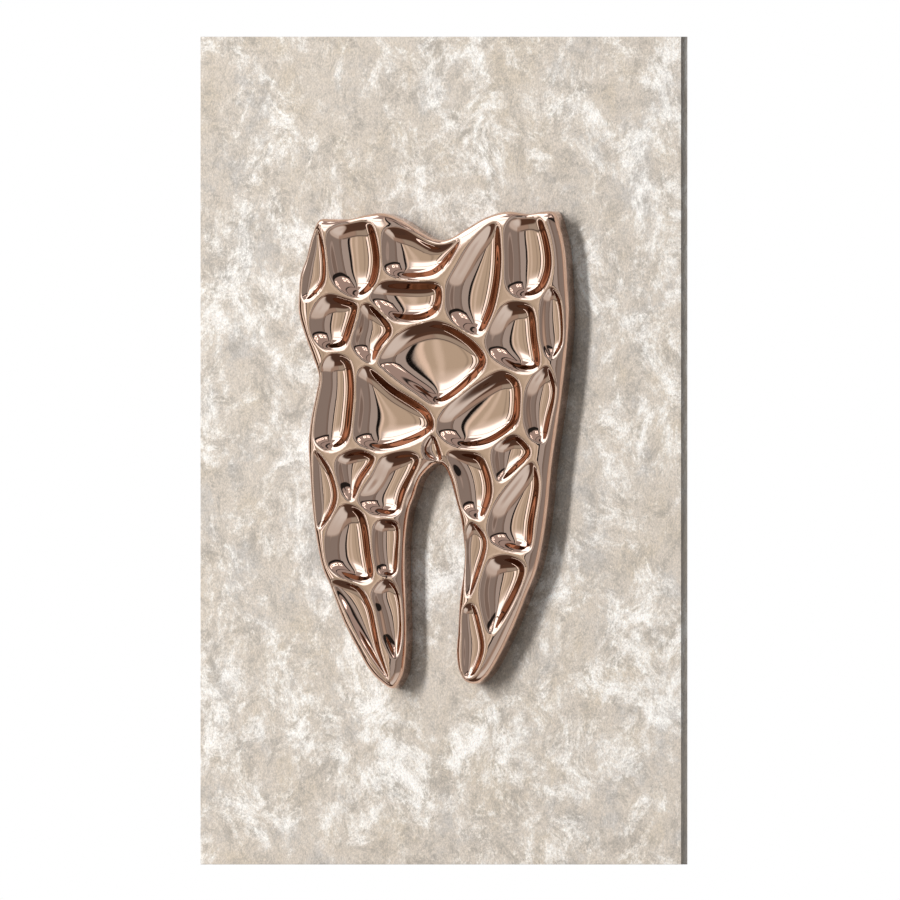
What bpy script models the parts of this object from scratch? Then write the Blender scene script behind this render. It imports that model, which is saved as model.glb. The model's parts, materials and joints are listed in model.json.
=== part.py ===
# Wall sculpture: a plated molar in relief on a cradled plaster panel, hung from two D-rings.
# Metres, +Z up, X to the right and +Y towards the wall. The origin is the centre of the panel's
# back, on the middle brace. The tooth faces -Y.

import math

import bmesh
import bpy
import numpy as np
from mathutils import Vector
from mathutils.geometry import delaunay_2d_cdt

MM = 0.001

# Panel
PANEL_WIDTH = 600 * MM
PANEL_HEIGHT = 1000 * MM
PANEL_DEPTH = 30 * MM
PLASTER_THICKNESS = 2 * MM
PLASTER_EDGE_RADIUS = 1.5 * MM
BOARD_THICKNESS = 6 * MM
RAIL_WIDTH = 30 * MM
BRACE_WIDTH = 30 * MM
BRACE_SPACING = 250 * MM
CORNER_BLOCK_LEG = 60 * MM
CORNER_BLOCK_THICKNESS = 12 * MM
SEAT_GAP = 0.3 * MM  # between pieces that touch
HOLE_CLEARANCE = 0.3 * MM  # round a screw in its hole

# Tooth casting
TOOTH_WIDTH = 337 * MM
TOOTH_HEIGHT = 578 * MM
TOOTH_DEPTH = 43 * MM  # from its back to the crest of the ridges
TOOTH_SIDE_WALL = 28 * MM  # the straight part of its side
TOOTH_CENTRE_HEIGHT = 0 * MM  # of the tooth above the panel's centre
BORDER_ROUNDING = 9 * MM  # width of the rounded edge between side and front
DENT_DEPTH = 17 * MM
DENT_WALL_WIDTH = 14 * MM  # from a dent's rim to its floor
CASTING_WALL = 5 * MM
BACKING_THICKNESS = 18 * MM
FACET_LENGTH = 12 * MM  # along the outline and the rims
BORDER_ANGLES = (35, 70)  # degrees round the border's rounding at which it has a row of points
DENT_RINGS = (0.84, 0.64, 0.38)  # rows of points in a dent, as shares of the way out to its rim

# Fasteners
SCREW_SIDES = 10
FRAME_SCREW_LENGTH = 55 * MM
FRAME_SCREW_RADIUS = 2 * MM
FRAME_SCREW_HEAD_RADIUS = 3.8 * MM
FRAME_SCREW_HEAD_HEIGHT = 2.4 * MM
BOLT_LENGTH = 24 * MM
BOLT_RADIUS = 2.7 * MM
BOLT_HEAD_RADIUS = 5 * MM
BOLT_HEAD_HEIGHT = 3.6 * MM
WASHER_RADIUS = 8 * MM
WASHER_THICKNESS = 1.6 * MM
INSERT_RADIUS = 4.7 * MM
INSERT_LENGTH = 16 * MM

# Hangers
HANGER_HEIGHT = 330 * MM  # of the rings' hinge axis above the panel's centre
STRAP_WIDTH = 16 * MM
STRAP_LENGTH = 49 * MM
STRAP_THICKNESS = 1.2 * MM
STRAP_SCREW_DROPS = (29 * MM, 41 * MM)  # below the hinge axis, past the hanging ring
RING_WIRE_RADIUS = 1.6 * MM
RING_HALF_WIDTH = 11 * MM  # at the wire's centre
RING_DROP = 22 * MM  # from the hinge axis to the far end of the loop, at the wire's centre
RING_CORNER_RADIUS = 3 * MM
STRAP_SCREW_RADIUS = 1.9 * MM
STRAP_SCREW_LENGTH = 15 * MM
STRAP_SCREW_HEAD_RADIUS = 3.6 * MM
STRAP_SCREW_HEAD_HEIGHT = 2 * MM

# Wall bumpers
BUMPER_RADIUS = 10 * MM
BUMPER_THICKNESS = 6 * MM
BUMPER_TAPER = 1 * MM
BUMPER_DROP = 20 * MM  # below the top rail's middle, and above the bottom one's
BUMPER_RECESS_DEPTH = 3 * MM
BUMPER_SCREW_RADIUS = 1.7 * MM
BUMPER_SCREW_LENGTH = 14 * MM
BUMPER_SCREW_HEAD_RADIUS = 3.4 * MM
BUMPER_SCREW_HEAD_HEIGHT = 1.8 * MM

# The tooth's outline in millimetres from its middle, as (x, z), clockwise from the left cusp.
OUTLINE = [
    (-143, 279), (-129, 280), (-106, 280), (-84, 285), (-65, 287), (-43, 280), (-17, 264), (-1, 256),
    (15, 255), (39, 268), (64, 282), (90, 289), (117, 286), (136, 289), (149, 288), (158, 266),
    (163, 243), (166, 204), (168, 166), (166, 129), (160, 74), (153, 25), (146, -24), (142, -66),
    (136, -108), (127, -147), (117, -171), (101, -210), (83, -247), (66, -274), (53, -283),
    (40, -281), (32, -270), (28, -247), (30, -217), (32, -181), (37, -144), (37, -114), (33, -83),
    (27, -60), (19, -33), (12, -20), (2, -17), (-8, -24), (-18, -36), (-25, -56), (-31, -72),
    (-36, -108), (-37, -144), (-36, -178), (-35, -229), (-36, -252), (-40, -274), (-52, -289),
    (-68, -280), (-82, -265), (-96, -241), (-114, -206), (-128, -169), (-139, -144), (-147, -108),
    (-152, -70), (-155, -28), (-157, 7), (-154, 36), (-147, 70), (-144, 88), (-151, 111),
    (-161, 138), (-169, 166), (-169, 189), (-167, 212), (-160, 231), (-153, 258),
]

# The dents' rims, in the same millimetres.
DENTS = {
    "crown_left_sliver": [(-144, 268), (-136, 250), (-133, 221), (-136, 201), (-155, 182), (-162, 184),
                          (-163, 201), (-155, 236)],
    "crown_left_tall": [(-130, 264), (-115, 275), (-90, 280), (-76, 276), (-66, 246), (-65, 221),
                        (-73, 196), (-93, 184), (-120, 200), (-129, 224)],
    "crown_saddle": [(-62, 254), (-59, 267), (-50, 271), (-30, 268), (5, 251), (33, 254), (22, 228),
                     (0, 209), (-46, 209), (-60, 222)],
    "crown_long_slant": [(73, 276), (82, 275), (87, 245), (85, 203), (74, 160), (60, 140), (38, 146),
                         (20, 167), (19, 199), (32, 225), (54, 259)],
    "crown_right_tall": [(92, 271), (101, 282), (133, 284), (143, 269), (150, 221), (136, 190),
                         (111, 184), (95, 196), (91, 233)],
    "right_edge_upper": [(149, 196), (158, 186), (163, 157), (161, 126), (149, 112), (140, 123),
                         (136, 155), (140, 186)],
    "left_pocket": [(-152, 163), (-132, 188), (-110, 185), (-93, 177), (-98, 148), (-110, 124),
                    (-135, 122), (-152, 140)],
    "left_kite": [(-87, 175), (-78, 177), (-50, 146), (-64, 123), (-76, 106), (-98, 126), (-94, 151)],
    "upper_bar": [(-76, 187), (-65, 202), (-27, 205), (10, 200), (10, 171), (-10, 156), (-47, 157),
                  (-66, 170)],
    "centre_large": [(-66, 106), (-48, 135), (-23, 151), (9, 156), (51, 134), (68, 108), (49, 81),
                     (8, 55), (-21, 70), (-57, 96)],
    "right_pocket": [(68, 132), (82, 166), (96, 179), (124, 175), (132, 137), (133, 99), (108, 95),
                     (74, 115)],
    "left_tall": [(-139, 102), (-125, 117), (-104, 111), (-97, 88), (-98, 49), (-106, 10), (-125, -1),
                  (-146, 9), (-148, 37), (-141, 79)],
    "left_wedge": [(-93, 91), (-82, 102), (-48, 78), (-3, 47), (2, 26), (-35, 4), (-71, -1),
                   (-95, 13), (-95, 55)],
    "right_wide": [(7, 32), (18, 51), (59, 83), (89, 96), (108, 84), (111, 55), (106, 31), (69, 5),
                   (32, 3), (9, 20)],
    "right_edge_lens": [(144, 101), (155, 76), (150, 44), (138, 9), (123, 16), (115, 57), (128, 90)],
    "left_lower_sliver": [(-146, -2), (-130, -19), (-119, -55), (-127, -80), (-142, -95), (-147, -66),
                          (-149, -24)],
    "small_triangle": [(-117, -11), (-93, 0), (-72, -9), (-87, -37), (-101, -61), (-114, -45)],
    "under_left_wedge": [(-91, -60), (-75, -32), (-60, -8), (-25, -2), (-15, -10), (-32, -53),
                         (-43, -79), (-75, -77)],
    "crotch_triangle": [(0, 17), (8, 1), (9, -11), (-3, -10), (-10, 1)],
    "inner_right_top": [(20, -4), (59, -5), (71, -24), (75, -55), (60, -84), (39, -74), (29, -36)],
    "small_slant": [(79, 4), (103, 18), (123, -2), (107, -23), (85, -37), (77, -18)],
    "right_root_upper": [(125, -15), (135, -36), (129, -86), (121, -122), (93, -121), (72, -106),
                         (74, -76), (97, -41)],
    "right_root_inner": [(41, -100), (50, -88), (67, -108), (60, -144), (45, -177), (41, -160)],
    "right_root_lower": [(74, -132), (98, -128), (117, -141), (96, -197), (74, -222), (62, -190),
                         (62, -160)],
    "right_root_tip": [(39, -192), (50, -187), (61, -217), (64, -244), (50, -274), (40, -274),
                       (37, -229)],
    "left_root_large": [(-135, -114), (-130, -94), (-109, -66), (-87, -74), (-76, -122), (-75, -157),
                        (-95, -161), (-129, -144)],
    "left_root_inner": [(-72, -96), (-63, -85), (-44, -89), (-42, -123), (-48, -152), (-66, -148)],
    "left_root_outer": [(-124, -160), (-93, -164), (-77, -187), (-70, -215), (-65, -241), (-56, -276),
                        (-80, -246), (-107, -199)],
    "left_root_tip": [(-73, -173), (-57, -157), (-44, -167), (-38, -223), (-46, -251), (-60, -229),
                      (-67, -200)],
}

# Where the casting is bolted on, in the same millimetres, clear of the braces behind.
BOLT_POINTS = {
    "crown_left": (-90, 190),
    "crown_right": (90, 190),
    "root_left": (-90, -120),
    "root_right": (88, -120),
}


def finish(name, colour, roughness, metallic=0.0):
    """A plain material with one Principled shader."""
    material = bpy.data.materials.new(name)
    material.use_nodes = True
    shader = material.node_tree.nodes["Principled BSDF"]
    shader.inputs["Base Color"].default_value = (*colour, 1)
    shader.inputs["Roughness"].default_value = roughness
    shader.inputs["Metallic"].default_value = metallic
    return material


def place(name, mesh, material, at=(0, 0, 0), smooth_angle=None):
    """An object for a mesh drawn about its own origin."""
    if smooth_angle:
        mesh.shade_smooth()
        mesh.set_sharp_from_angle(angle=math.radians(smooth_angle))
    piece = bpy.data.objects.new(name, mesh)
    piece.location = at
    if material:
        mesh.materials.append(material)
    bpy.context.scene.collection.objects.link(piece)
    return piece


def solid(name, points, faces):
    """A mesh with its doubled points merged and its faces turned outwards."""
    shape = bmesh.new()
    corners = [shape.verts.new(p) for p in points]
    for face in faces:
        shape.faces.new([corners[i] for i in face])
    bmesh.ops.remove_doubles(shape, verts=shape.verts, dist=0.001 * MM)
    bmesh.ops.recalc_face_normals(shape, faces=shape.faces)
    mesh = bpy.data.meshes.new(name)
    shape.to_mesh(mesh)
    shape.free()
    return mesh


def block(name, size, at, material):
    """A squared piece of timber or board, about its own middle."""
    shape = bmesh.new()
    bmesh.ops.create_cube(shape, size=1)
    bmesh.ops.scale(shape, vec=size, verts=shape.verts)
    mesh = bpy.data.meshes.new(name)
    shape.to_mesh(mesh)
    shape.free()
    return place(name, mesh, material, at)


def strip(first, second):
    """The four-sided faces between two closed rows of point numbers."""
    return [[first[i - 1], first[i], second[i], second[i - 1]] for i in range(len(first))]


def turned(profile, closed=False):
    """Points and faces of a profile of (radius, distance along +Y) turned about the Y axis."""
    points, rings = [], []
    for radius, along in profile:
        if radius > 0:
            turn = [2 * math.pi * i / SCREW_SIDES for i in range(SCREW_SIDES)]
            rings.append(list(range(len(points), len(points) + SCREW_SIDES)))
            points += [(radius * math.cos(t), along, radius * math.sin(t)) for t in turn]
        else:
            rings.append([len(points)] * SCREW_SIDES)
            points.append((0, along, 0))
    faces = []
    for first, second in zip(rings, rings[1:] + rings[:1] if closed else rings[1:]):
        faces += [list(dict.fromkeys(face)) for face in strip(first, second)]
    return points, faces


def copies(stem, profile, places, material, closed=False):
    """Equal turned pieces, one object for each (name's ending, place, way that the +Y end points)."""
    mesh = solid(stem, *turned(profile, closed))
    for ending, at, towards in places:
        piece = place(stem + ending, mesh, None, at, smooth_angle=40)
        piece.rotation_euler = Vector((0, 1, 0)).rotation_difference(Vector(towards)).to_euler()
    mesh.materials.append(material)


def drill(pieces, stem, holes):
    """Cuts turned holes, given as (profile, places), out of the pieces; the cutter stays hidden."""
    all_points, all_faces = [], []
    for profile, places in holes:
        points, faces = turned(profile)
        for _, at, towards in places:
            start = len(all_points)
            turn = Vector((0, 1, 0)).rotation_difference(Vector(towards))
            all_points += [Vector(at) + turn @ Vector(p) for p in points]
            all_faces += [[start + i for i in face] for face in faces]
    cut_away(pieces, place(stem, solid(stem, all_points, all_faces), None))


def cut_away(pieces, cutter):
    """Takes a hidden cutter's shape out of each piece."""
    cutter.hide_render = True
    cutter.display_type = "WIRE"
    for piece in pieces:
        cut = piece.modifiers.new("holes", "BOOLEAN")
        cut.operation = "DIFFERENCE"
        cut.solver = "EXACT"
        cut.object = cutter


def screw_profile(length, radius, head_radius, head_height, countersunk, grow=0.0):
    """A wood screw from its tip at -length to its head, which ends at +Y head_height or, where
    countersunk, at 0. A positive grow gives the hole that it needs, open past the head."""
    tip = [(0, -length - grow), (radius + grow, -length + 2 * radius)]
    if countersunk:
        shape = tip + [(radius + grow, -head_height), (head_radius + grow, 0)]
    else:
        shape = tip + [(radius + grow, 0)]
        if not grow:
            shape += [(head_radius, 0), (0.8 * head_radius, head_height)]
    if grow:
        shape += [(shape[-1][0], length)]
    return shape + [(0, shape[-1][1])]


def closed_curve(points, spacing):
    """Points at about equal spacing on the smooth closed curve through the given points: a
    Catmull-Rom curve whose knots are the square roots of the gaps."""
    b = np.array(points, float)
    a, c, d = np.roll(b, 1, 0), np.roll(b, -1, 0), np.roll(b, -2, 0)
    t1 = np.sqrt(np.linalg.norm(b - a, axis=1))[:, None]
    t2 = t1 + np.sqrt(np.linalg.norm(c - b, axis=1))[:, None]
    t3 = t2 + np.sqrt(np.linalg.norm(d - c, axis=1))[:, None]
    spans = []
    for share in np.linspace(0, 1, 16, endpoint=False):
        t = t1 + share * (t2 - t1)
        ab = a * (t1 - t) / t1 + b * t / t1
        bc = b * (t2 - t) / (t2 - t1) + c * (t - t1) / (t2 - t1)
        cd = c * (t3 - t) / (t3 - t2) + d * (t - t2) / (t3 - t2)
        abc = ab * (t2 - t) / t2 + bc * t / t2
        bcd = bc * (t3 - t) / (t3 - t1) + cd * (t - t1) / (t3 - t1)
        spans.append(abc * (t2 - t) / (t2 - t1) + bcd * (t - t1) / (t2 - t1))
    fine = np.stack(spans, 1).reshape(-1, 2)
    fine = np.vstack([fine, fine[:1]])
    run = np.concatenate([[0], np.cumsum(np.linalg.norm(np.diff(fine, axis=0), axis=1))])
    count = max(8, round(run[-1] / spacing))
    stops = np.linspace(0, run[-1], count, endpoint=False)
    return np.stack([np.interp(stops, run, fine[:, 0]), np.interp(stops, run, fine[:, 1])], 1)


def inset(loop, distance):
    """A clockwise loop moved inwards along its normals."""
    along = np.roll(loop, -1, 0) - np.roll(loop, 1, 0)
    along /= np.linalg.norm(along, axis=1)[:, None]
    return loop + distance * np.stack([along[:, 1], -along[:, 0]], 1)


def inside(points, loop):
    """Which points lie inside a loop, by counting the edges that a ray to the right crosses."""
    start, end = loop, np.roll(loop, -1, 0)
    x, z = points[:, :1], points[:, 1:]
    spans = (start[:, 1] > z) != (end[:, 1] > z)
    rise = np.where(end[:, 1] == start[:, 1], 1, end[:, 1] - start[:, 1])
    crossing = start[:, 0] + (z - start[:, 1]) * (end[:, 0] - start[:, 0]) / rise
    return (spans & (x < crossing)).sum(1) % 2 == 1


def distance_to(points, loop):
    """How far each point is from a loop's edges."""
    start, edge = loop, np.roll(loop, -1, 0) - loop
    off = points[:, None] - start
    share = np.clip((off * edge).sum(2) / (edge * edge).sum(1), 0, 1)
    return np.linalg.norm(off - share[..., None] * edge, axis=2).min(1)


def triangles_between(points, loops):
    """A triangulation of the points that keeps the loops' edges, given as lists of indices."""
    edges = [(loop[i - 1], loop[i]) for loop in loops for i in range(len(loop))]
    found = delaunay_2d_cdt([Vector(p) for p in points], edges, [], 0, 0.001 * MM, True)
    original = [ids[0] for ids in found[3]]
    return np.array([[original[i] for i in face] for face in found[2]])


def drawn(points):
    """Points of the tooth's drawing at the tooth's real size, in metres."""
    width = max(x for x, z in OUTLINE) - min(x for x, z in OUTLINE)
    height = max(z for x, z in OUTLINE) - min(z for x, z in OUTLINE)
    return np.array(points, float) * (TOOTH_WIDTH / width, TOOTH_HEIGHT / height)


def crest_height(points, outline):
    """The front before it is dented: a quarter round from the side wall's top to the crest."""
    share = np.clip(distance_to(points, outline) / BORDER_ROUNDING, 0, 1)
    return TOOTH_SIDE_WALL + (TOOTH_DEPTH - TOOTH_SIDE_WALL) * np.sqrt(1 - (1 - share) ** 2)


def dent_drop(points, rim):
    """How deep a dent is below the crest: an S-shaped wall down from its rim to a level floor."""
    share = np.clip(distance_to(points, rim) / DENT_WALL_WIDTH, 0, 1)
    return DENT_DEPTH * share * share * (3 - 2 * share)


def tooth_front(outline, rims):
    """Points (x, height, z) and faces of the casting's front: ridges between the rims, a rounded
    border, and each dent as rings that shrink towards its middle."""
    rounds = [BORDER_ROUNDING * (1 - math.cos(math.radians(angle))) for angle in BORDER_ANGLES]
    border = np.vstack([inset(outline, distance) for distance in rounds])
    clear = inside(border, outline)
    for rim in rims:
        clear &= ~inside(border, rim) & (distance_to(border, rim) > BORDER_ROUNDING / 3)
    flat = np.vstack([outline, *rims, border[clear]])
    loops, start = [], 0
    for loop in [outline, *rims]:
        loops.append(range(start, start + len(loop)))
        start += len(loop)
    ridges = triangles_between(flat, loops)
    middles = flat[ridges].mean(1)
    keep = inside(middles, outline)
    for rim in rims:
        keep &= ~inside(middles, rim)
    points = [np.insert(flat, 1, crest_height(flat, outline), axis=1)]
    faces = [list(face) for face in ridges[keep]]
    start = len(flat)
    for rim, loop in zip(rims, loops[1:]):
        centre = rim.mean(0)
        for share in (*DENT_RINGS, 0):
            ring = centre + share * (rim - centre) if share else centre[None]
            height = crest_height(ring, outline) - dent_drop(ring, rim)
            points.append(np.insert(ring, 1, height, axis=1))
            after = range(start, start + len(rim)) if share else [start] * len(rim)
            faces += [list(dict.fromkeys(face)) for face in strip(loop, after)]
            loop, start = after, start + len(ring)
    return np.vstack(points), faces


def tooth_casting(material):
    """The plated casting: dented front, straight side wall, and a hollow behind for its board."""
    outline = closed_curve(drawn(OUTLINE), FACET_LENGTH)
    rims = [closed_curve(drawn(points), FACET_LENGTH) for points in DENTS.values()]
    front, faces = tooth_front(outline, rims)
    count = len(outline)
    inner = inset(outline, CASTING_WALL)
    ceiling = BACKING_THICKNESS + SEAT_GAP
    start = len(front)
    points = np.vstack([
        front,
        np.insert(outline, 1, 0, axis=1),
        np.insert(inner, 1, 0, axis=1),
        np.insert(inner, 1, ceiling, axis=1),
    ])
    rows = [range(count)]
    for k in range(3):
        rows.append(range(start + k * count, start + (k + 1) * count))
        faces += strip(rows[k], rows[k + 1])
    roof = triangles_between(inner, [list(range(count))])
    roof = roof[inside(inner[roof].mean(1), inner)]
    faces += [[rows[3][i] for i in face] for face in roof]
    points[:, 1] *= -1
    mesh = solid("tooth_shell", points, faces)
    at = (0, -PANEL_DEPTH - SEAT_GAP, TOOTH_CENTRE_HEIGHT)
    return place("tooth_shell", mesh, material, at, smooth_angle=50)


def slab(name, loop, thickness, at, material):
    """A board cut to a loop of (x, z), from y = 0 to -thickness."""
    count = len(loop)
    points = np.vstack([np.insert(loop, 1, 0, axis=1), np.insert(loop, 1, -thickness, axis=1)])
    faces = strip(range(count), range(count, 2 * count))
    cover = triangles_between(loop, [list(range(count))])
    cover = cover[inside(loop[cover].mean(1), loop)]
    faces += [list(face) for face in cover] + [[i + count for i in face] for face in cover]
    return place(name, solid(name, points, faces), material, at)


def panel_frame(wood, plywood):
    """The cradle behind the board: four rails, three braces and four corner blocks."""
    depth = PANEL_DEPTH - PLASTER_THICKNESS - BOARD_THICKNESS - 2 * SEAT_GAP
    half_width = PANEL_WIDTH / 2 - PLASTER_THICKNESS - SEAT_GAP
    half_height = PANEL_HEIGHT / 2 - PLASTER_THICKNESS - SEAT_GAP
    bay = 2 * (half_width - RAIL_WIDTH - SEAT_GAP)
    sides, across = [], []
    for name, sign in (("rail_left", -1), ("rail_right", 1)):
        at = (sign * (half_width - RAIL_WIDTH / 2), -depth / 2, 0)
        sides.append(block(name, (RAIL_WIDTH, depth, 2 * half_height), at, wood))
    for name, sign in (("rail_top", 1), ("rail_bottom", -1)):
        at = (0, -depth / 2, sign * (half_height - RAIL_WIDTH / 2))
        across.append(block(name, (bay, depth, RAIL_WIDTH), at, wood))
    for name, step in (("brace_upper", 1), ("brace_middle", 0), ("brace_lower", -1)):
        at = (0, -depth / 2, step * BRACE_SPACING)
        across.append(block(name, (bay, depth, BRACE_WIDTH), at, wood))
    for name, left, up in (
        ("corner_block_top_left", -1, 1),
        ("corner_block_top_right", 1, 1),
        ("corner_block_bottom_left", -1, -1),
        ("corner_block_bottom_right", 1, -1),
    ):
        x = left * (half_width - RAIL_WIDTH - SEAT_GAP)
        z = up * (half_height - RAIL_WIDTH - SEAT_GAP)
        leg = np.array([(0, 0), (-left * CORNER_BLOCK_LEG, 0), (0, -up * CORNER_BLOCK_LEG)])
        slab(name, leg, CORNER_BLOCK_THICKNESS, (x, CORNER_BLOCK_THICKNESS - depth, z), plywood)
    return sides, across, depth, half_width, half_height


def frame_screws(across, depth, half_width, half_height, steel):
    """Countersunk screws through the side rails into the ends of the rails and braces. Returns
    the holes that they need in the side rails."""
    corner = half_height - RAIL_WIDTH / 2
    heights = {"top": corner, "upper": BRACE_SPACING, "middle": 0, "lower": -BRACE_SPACING, "bottom": -corner}
    places = []
    for level, z in heights.items():
        for side, sign in (("left", -1), ("right", 1)):
            at = (sign * (half_width - SEAT_GAP), -depth / 2, z)
            places.append(("_" + level + "_" + side, at, (sign, 0, 0)))
    sizes = (FRAME_SCREW_LENGTH, FRAME_SCREW_RADIUS, FRAME_SCREW_HEAD_RADIUS, FRAME_SCREW_HEAD_HEIGHT)
    copies("frame_screw", screw_profile(*sizes, True), places, steel)
    holes = [(screw_profile(*sizes, True, HOLE_CLEARANCE), places)]
    drill(across, "frame_screw_holes", holes)
    return holes


def plaster_coat(material):
    """The stone-effect coat: a shallow tray over the board's face, turned down over the edges."""
    size = (PANEL_WIDTH, PANEL_DEPTH, PANEL_HEIGHT)
    coat = block("plaster_skin", size, (0, -PANEL_DEPTH / 2, 0), material)
    edge = coat.modifiers.new("edge", "BEVEL")
    edge.width = PLASTER_EDGE_RADIUS
    edge.segments = 2
    edge.limit_method = "ANGLE"
    hollow = (size[0] - 2 * PLASTER_THICKNESS, size[1], size[2] - 2 * PLASTER_THICKNESS)
    at = (0, -PANEL_DEPTH / 2 + PLASTER_THICKNESS, 0)
    cut_away([coat], block("plaster_hollow", hollow, at, None))
    return coat


def tooth_mounting(board, coat, depth, plywood, steel, brass):
    """The backing board in the casting, its inserts, and the bolts and washers from behind."""
    outline = closed_curve(drawn(OUTLINE), FACET_LENGTH)
    tooth_back = -PANEL_DEPTH - SEAT_GAP
    loop = inset(outline, CASTING_WALL + SEAT_GAP)
    at = (0, tooth_back, TOOTH_CENTRE_HEIGHT)
    backing = slab("tooth_backing_board", loop, BACKING_THICKNESS, at, plywood)
    spots = {name: drawn([spot])[0] for name, spot in BOLT_POINTS.items()}

    def bolted_at(y):
        return [("_" + n, (x, y, z + TOOTH_CENTRE_HEIGHT), (0, 1, 0)) for n, (x, z) in spots.items()]

    bore = BOLT_RADIUS + HOLE_CLEARANCE
    sleeve = [(bore, 0), (INSERT_RADIUS, 0), (INSERT_RADIUS, -INSERT_LENGTH), (bore, -INSERT_LENGTH)]
    copies("threaded_insert", sleeve, bolted_at(tooth_back), brass, closed=True)
    well, past = INSERT_RADIUS + SEAT_GAP, BACKING_THICKNESS / 2
    deep = -BACKING_THICKNESS - past
    wells = [([(0, deep), (well, deep), (well, past), (0, past)], bolted_at(tooth_back))]
    drill([backing], "insert_wells", wells)

    washer = [(bore, 0), (WASHER_RADIUS, 0), (WASHER_RADIUS, WASHER_THICKNESS), (bore, WASHER_THICKNESS)]
    copies("bolt_washer", washer, bolted_at(-depth), steel, closed=True)
    under_head = -depth + WASHER_THICKNESS + SEAT_GAP
    bolt = [(0, -BOLT_LENGTH), (BOLT_RADIUS, -BOLT_LENGTH), (BOLT_RADIUS, 0), (BOLT_HEAD_RADIUS, 0),
            (0.7 * BOLT_HEAD_RADIUS, BOLT_HEAD_HEIGHT), (0, BOLT_HEAD_HEIGHT)]
    copies("mounting_bolt", bolt, bolted_at(under_head), steel)
    way = [(0, -BOLT_LENGTH), (bore, -BOLT_LENGTH), (bore, BOLT_LENGTH), (0, BOLT_LENGTH)]
    drill([board, coat], "bolt_ways", [(way, bolted_at(under_head))])


def hanger(side, rail, steel):
    """A strap plate with a rolled eye, its two screws, and the D-ring that turns in the eye.
    Returns the holes that the screws need in the rail."""
    eye_inner = RING_WIRE_RADIUS + HOLE_CLEARANCE
    eye_outer = eye_inner + STRAP_THICKNESS
    axis = Vector((rail.location.x, SEAT_GAP + eye_outer, HANGER_HEIGHT))
    turn = [math.radians(a) for a in range(180, -61, -20)]
    outer = [(eye_outer * math.cos(t), eye_outer * math.sin(t)) for t in turn]
    inner = [(eye_inner * math.cos(t), eye_inner * math.sin(t)) for t in reversed(turn)]
    loop = [(-eye_outer, -STRAP_LENGTH), *outer, *inner, (-eye_inner, -STRAP_LENGTH)]
    count = len(loop)
    points = [(x, y, z) for x in (-STRAP_WIDTH / 2, STRAP_WIDTH / 2) for y, z in loop]
    faces = [*strip(range(count), range(count, 2 * count)), range(count), range(count, 2 * count)]
    name = "hanger_plate_" + side
    plate = place(name, solid(name, points, faces), steel, axis, smooth_angle=40)
    head_seat = SEAT_GAP + STRAP_THICKNESS + SEAT_GAP
    places = []
    for ending, drop in zip(("_upper", "_lower"), STRAP_SCREW_DROPS):
        places.append((ending, (axis.x, head_seat, axis.z - drop), (0, 1, 0)))
    sizes = (STRAP_SCREW_LENGTH, STRAP_SCREW_RADIUS, STRAP_SCREW_HEAD_RADIUS, STRAP_SCREW_HEAD_HEIGHT)
    copies("hanger_screw_" + side, screw_profile(*sizes, False), places, steel)
    holes = [(screw_profile(*sizes, False, HOLE_CLEARANCE), places)]
    drill([plate], "hanger_holes_" + side, holes)

    wire = bpy.data.curves.new("d_ring_" + side, "CURVE")
    wire.dimensions = "3D"
    wire.bevel_depth = RING_WIRE_RADIUS
    wire.bevel_resolution = 2
    route = []
    shoulder = RING_HALF_WIDTH - RING_CORNER_RADIUS
    for turned_by in (0, 30, 60, 90):
        across, down = math.sin(math.radians(turned_by)), 1 - math.cos(math.radians(turned_by))
        route.append((shoulder + RING_CORNER_RADIUS * across, -RING_CORNER_RADIUS * down))
    bow_centre = RING_HALF_WIDTH - RING_DROP
    for turned_by in range(0, 181, 20):
        across, down = math.cos(math.radians(turned_by)), math.sin(math.radians(turned_by))
        route.append((RING_HALF_WIDTH * across, bow_centre - RING_HALF_WIDTH * down))
    route += [(-x, z) for x, z in reversed(route[:4])]
    spline = wire.splines.new("POLY")
    spline.points.add(len(route) - 1)
    for point, (x, z) in zip(spline.points, route):
        point.co = (x, 0, z, 1)
    spline.use_cyclic_u = True
    spline.use_smooth = True
    wire.materials.append(steel)
    ring = bpy.data.objects.new("d_ring_" + side, wire)
    ring.location = axis
    bpy.context.scene.collection.objects.link(ring)
    return holes


def bumpers(sides, half_height, rubber, steel):
    """Rubber feet on the corners that stand the panel off the wall, each on one screw. Returns
    the holes that the screws need in the side rails."""
    bore = BUMPER_SCREW_RADIUS + HOLE_CLEARANCE
    recess = BUMPER_SCREW_HEAD_RADIUS + 2 * HOLE_CLEARANCE
    floor = BUMPER_THICKNESS - BUMPER_RECESS_DEPTH
    foot = [(bore, 0), (BUMPER_RADIUS, 0), (BUMPER_RADIUS - BUMPER_TAPER, BUMPER_THICKNESS),
            (recess, BUMPER_THICKNESS), (recess, floor), (bore, floor)]

    def corners_at(y):
        found = []
        for rail, side in zip(sides, ("left", "right")):
            for level, up in (("top", 1), ("bottom", -1)):
                at = (rail.location.x, y, up * (half_height - RAIL_WIDTH / 2 - BUMPER_DROP))
                found.append(("_" + level + "_" + side, at, (0, 1, 0)))
        return found

    copies("wall_bumper", foot, corners_at(SEAT_GAP), rubber, closed=True)
    seats = corners_at(SEAT_GAP + floor + SEAT_GAP)
    sizes = (BUMPER_SCREW_LENGTH, BUMPER_SCREW_RADIUS, BUMPER_SCREW_HEAD_RADIUS, BUMPER_SCREW_HEAD_HEIGHT)
    copies("bumper_screw", screw_profile(*sizes, False), seats, steel)
    return [(screw_profile(*sizes, False, HOLE_CLEARANCE), seats)]


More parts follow.
